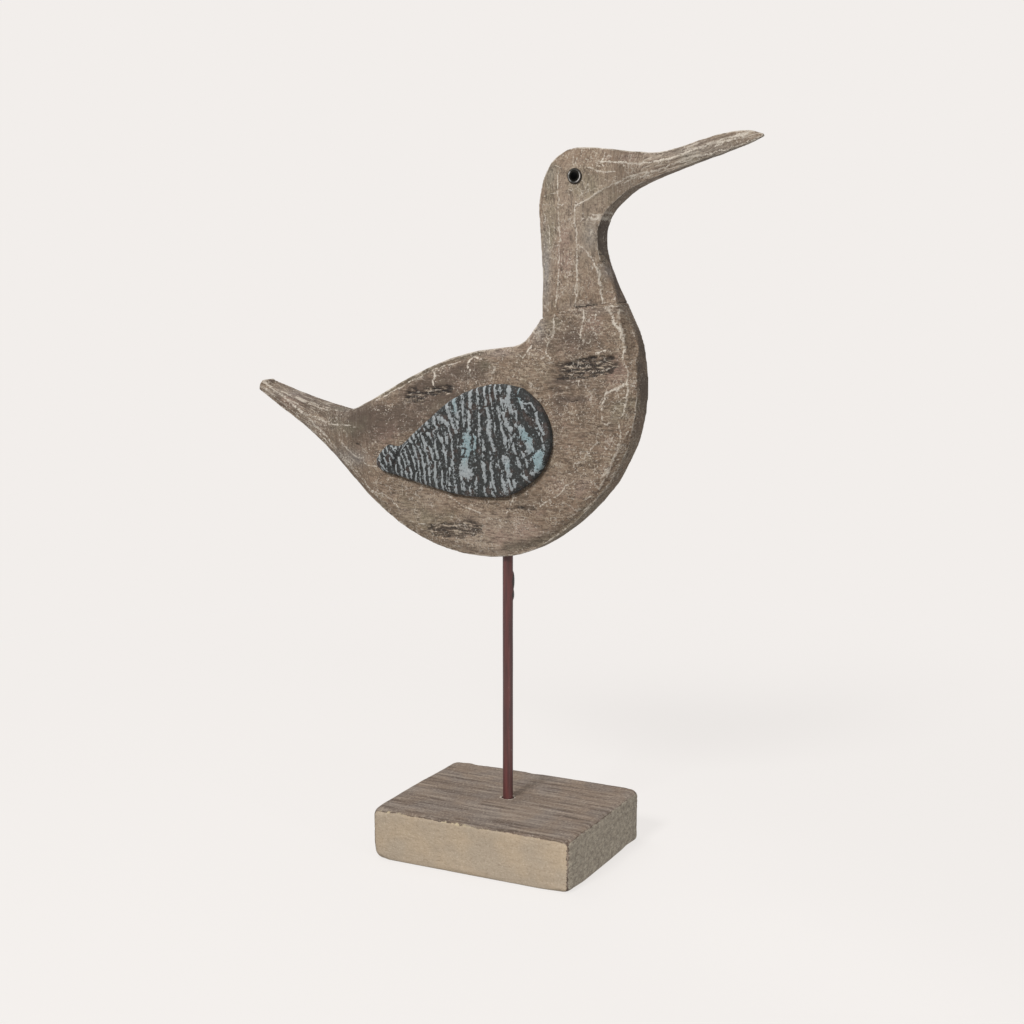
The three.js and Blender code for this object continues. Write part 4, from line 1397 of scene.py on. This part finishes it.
def block_wood():
    shade = Shader("block_wood", roughness=0.88)
    places = shade.places
    lines = shade.noise(places, (34, 2.4, 8), 4, 0.75)
    bands = shade.noise(places, (90, 8, 20), 2)
    broad = shade.noise(places, 16, 2)
    speck = shade.noise(places, (1.1, 1.8, 0.9), 3, 0.8)
    mottle = shade.noise(places, (5, 4, 2.4), 4, 0.7)

    top = shade.mix(shade.step(broad, 0.35, 0.65), BLOCK_TOP, BLOCK_TOP_GREY)
    top = shade.coat(top, BLOCK_TOP_DARK, 0.25, bands, 0.54, 0.38)
    top = shade.coat(top, BLOCK_TOP_DARK, 0.80, lines, 0.46, 0.40)
    top = shade.coat(top, BLOCK_TOP_PALE, 0.45, lines, 0.54, 0.62)
    top = shade.coat(top, BLOCK_TOP_DARK, 0.55, speck, 0.47, 0.34)
    top = shade.coat(top, BLOCK_TOP_PALE, 0.50, speck, 0.54, 0.66)
    chipped = shade.plus(shade.attribute("foot"), shade.times(speck, 7.0))
    top = shade.coat(top, PALE_WASH, 0.8, chipped, 7.6, 6.6)

    streaks = shade.noise(places, (6, 6, 0.9), 3, 0.65)
    front = shade.mix(shade.step(broad, 0.35, 0.65), BLOCK_FRONT, BLOCK_FRONT_GREY)
    front = shade.coat(front, BLOCK_FRONT_DARK, 0.30, streaks, 0.42, 0.32)
    front = shade.coat(front, BLOCK_FRONT_DARK, 0.35, speck, 0.46, 0.34)
    front = shade.coat(front, BLOCK_FRONT_PALE, 0.35, speck, 0.54, 0.66)
    scratch = shade.noise(places, (2.6, 2.6, 1.2), 4, 0.75)
    front = shade.coat(front, BLOCK_FRONT_DARK, 0.60, scratch, 0.34, 0.29)

    curl = shade.noise(places, (2.0, 2.6, 1.6), 4, 0.75)
    end = shade.mix(shade.step(mottle, 0.68, 0.28), BLOCK_END, BLOCK_END_DARK)
    end = shade.coat(end, BLOCK_END_DARK, 0.60, curl, 0.47, 0.40)
    end = shade.coat(end, BLOCK_END_PALE, 0.50, curl, 0.54, 0.61)
    end = shade.coat(end, BLOCK_TOP_DARK, 0.60, speck, 0.46, 0.37)

    ragged = shade.times(shade.noise(places, (7, 7, 1.6), 4, 0.75), 3.6)
    ragged = shade.minus(ragged, 2.4)
    to_front = shade.plus(shade.attribute("front"), ragged)
    to_end = shade.plus(shade.attribute("end"), ragged)
    colour = shade.mix(shade.step(to_front, -0.2, 0.3), top, front)
    colour = shade.mix(shade.step(to_end, -0.2, 0.3), colour, end)
    seam = shade.math("ABSOLUTE", to_front)
    chips = shade.times(shade.step(seam, 1.2, 0.4), shade.step(mottle, 0.50, 0.58))
    colour = shade.blend(shade.times(chips, shade.attribute("chip")), 0.8, colour, BLOCK_CHIP)
    # Painted shadow along the worn edges around the front and the ends
    shadow = shade.times(shade.step(seam, 0.6, 0.1), shade.step(mottle, 0.58, 0.48))
    colour = shade.blend(shadow, 0.85, colour, BLOCK_EDGE_SHADOW)
    end_seam = shade.step(shade.math("ABSOLUTE", to_end), 0.8, 0.1)
    end_shadow = shade.times(end_seam, shade.step(mottle, 0.56, 0.46))
    colour = shade.blend(end_shadow, 0.8, colour, BLOCK_EDGE_SHADOW)
    shade.colour(colour)
    height = shade.plus(lines, shade.times(speck, 0.5))
    shade.bump(height, 0.3)
    return shade.material


def plain_glow(name):
    """A matt material that shows the backdrop colour whatever the light."""
    shade = Shader(name, roughness=1.0)
    shade.surface.inputs["Base Color"].default_value = (0, 0, 0, 1)
    shade.surface.inputs["Specular IOR Level"].default_value = 0
    shade.surface.inputs["Emission Color"].default_value = (*BACKDROP_COLOUR, 1)
    shade.surface.inputs["Emission Strength"].default_value = 1.0
    return shade


def backdrop():
    """A plain pale floor and an even dome around it, which lend the model no light."""
    build = bmesh.new()
    bmesh.ops.create_circle(build, cap_ends=True, segments=96, radius=FLOOR_RADIUS)
    floor_mesh = finished_mesh(build, "floor")
    build = bmesh.new()
    bmesh.ops.create_uvsphere(build, u_segments=48, v_segments=24, radius=DOME_RADIUS)
    dome_mesh = finished_mesh(build, "dome")

    paper = plain_glow("floor_paper")
    far = paper.add("ShaderNodeVectorMath", {0: paper.places}, operation="LENGTH").outputs["Value"]
    lit = paper.step(far, FLOOR_FADE[1], FLOOR_FADE[0])
    shown = paper.mix(lit, (0, 0, 0), FLOOR_SHADE)
    paper.colour(shown)
    glow = paper.minus(1.0, paper.times(lit, FLOOR_LIT))
    paper.tree.links.new(glow, paper.surface.inputs["Emission Strength"])
    floor_mesh.materials.append(paper.material)
    dome_mesh.materials.append(plain_glow("dome_paper").material)

    for name, mesh in (("floor", floor_mesh), ("dome", dome_mesh)):
        obj = add_object(name, mesh)
        obj.visible_diffuse = False
    bpy.data.objects["dome"].visible_shadow = False

    world = bpy.data.worlds.new("studio")
    world.use_nodes = True
    ambient = world.node_tree.nodes["Background"]
    ambient.inputs["Color"].default_value = AMBIENT_COLOUR
    ambient.inputs["Strength"].default_value = AMBIENT
    bpy.context.scene.world = world
    bpy.context.scene.view_settings.view_transform = "Standard"


def add_light(name, place, aim, size, power):
    lamp = bpy.data.lights.new(name, "AREA")
    lamp.shape = "DISK"
    lamp.size = size
    lamp.energy = power
    light = add_object(name, lamp)
    light.location = place
    light.rotation_euler = (Vector(aim) - Vector(place)).to_track_quat("-Z", "Y").to_euler()


def lights():
    for lamp in LAMPS:
        add_light(*lamp)
    bpy.data.lights["low fill"].spread = FILL_SPREAD


def camera():
    data = bpy.data.cameras.new("camera")
    data.lens = CAMERA_LENS
    data.sensor_width = SENSOR_WIDTH
    view = add_object("camera", data)
    view.location = [value * MM for value in CAMERA_PLACE]
    view.rotation_euler = (math.radians(90 + CAMERA_PITCH), 0, math.radians(CAMERA_YAW))
    bpy.context.scene.camera = view


camera()
backdrop()
lights()
body_piece()
head_piece()
wing_piece(-1, "wing_left_painted", "wing_left")
wing_piece(1, "wing_right_painted", "wing_right")
rod_piece()
eye_piece(-1, "eye_left_glossy", "eye_left")
eye_piece(1, "eye_right_glossy", "eye_right")
block_piece()
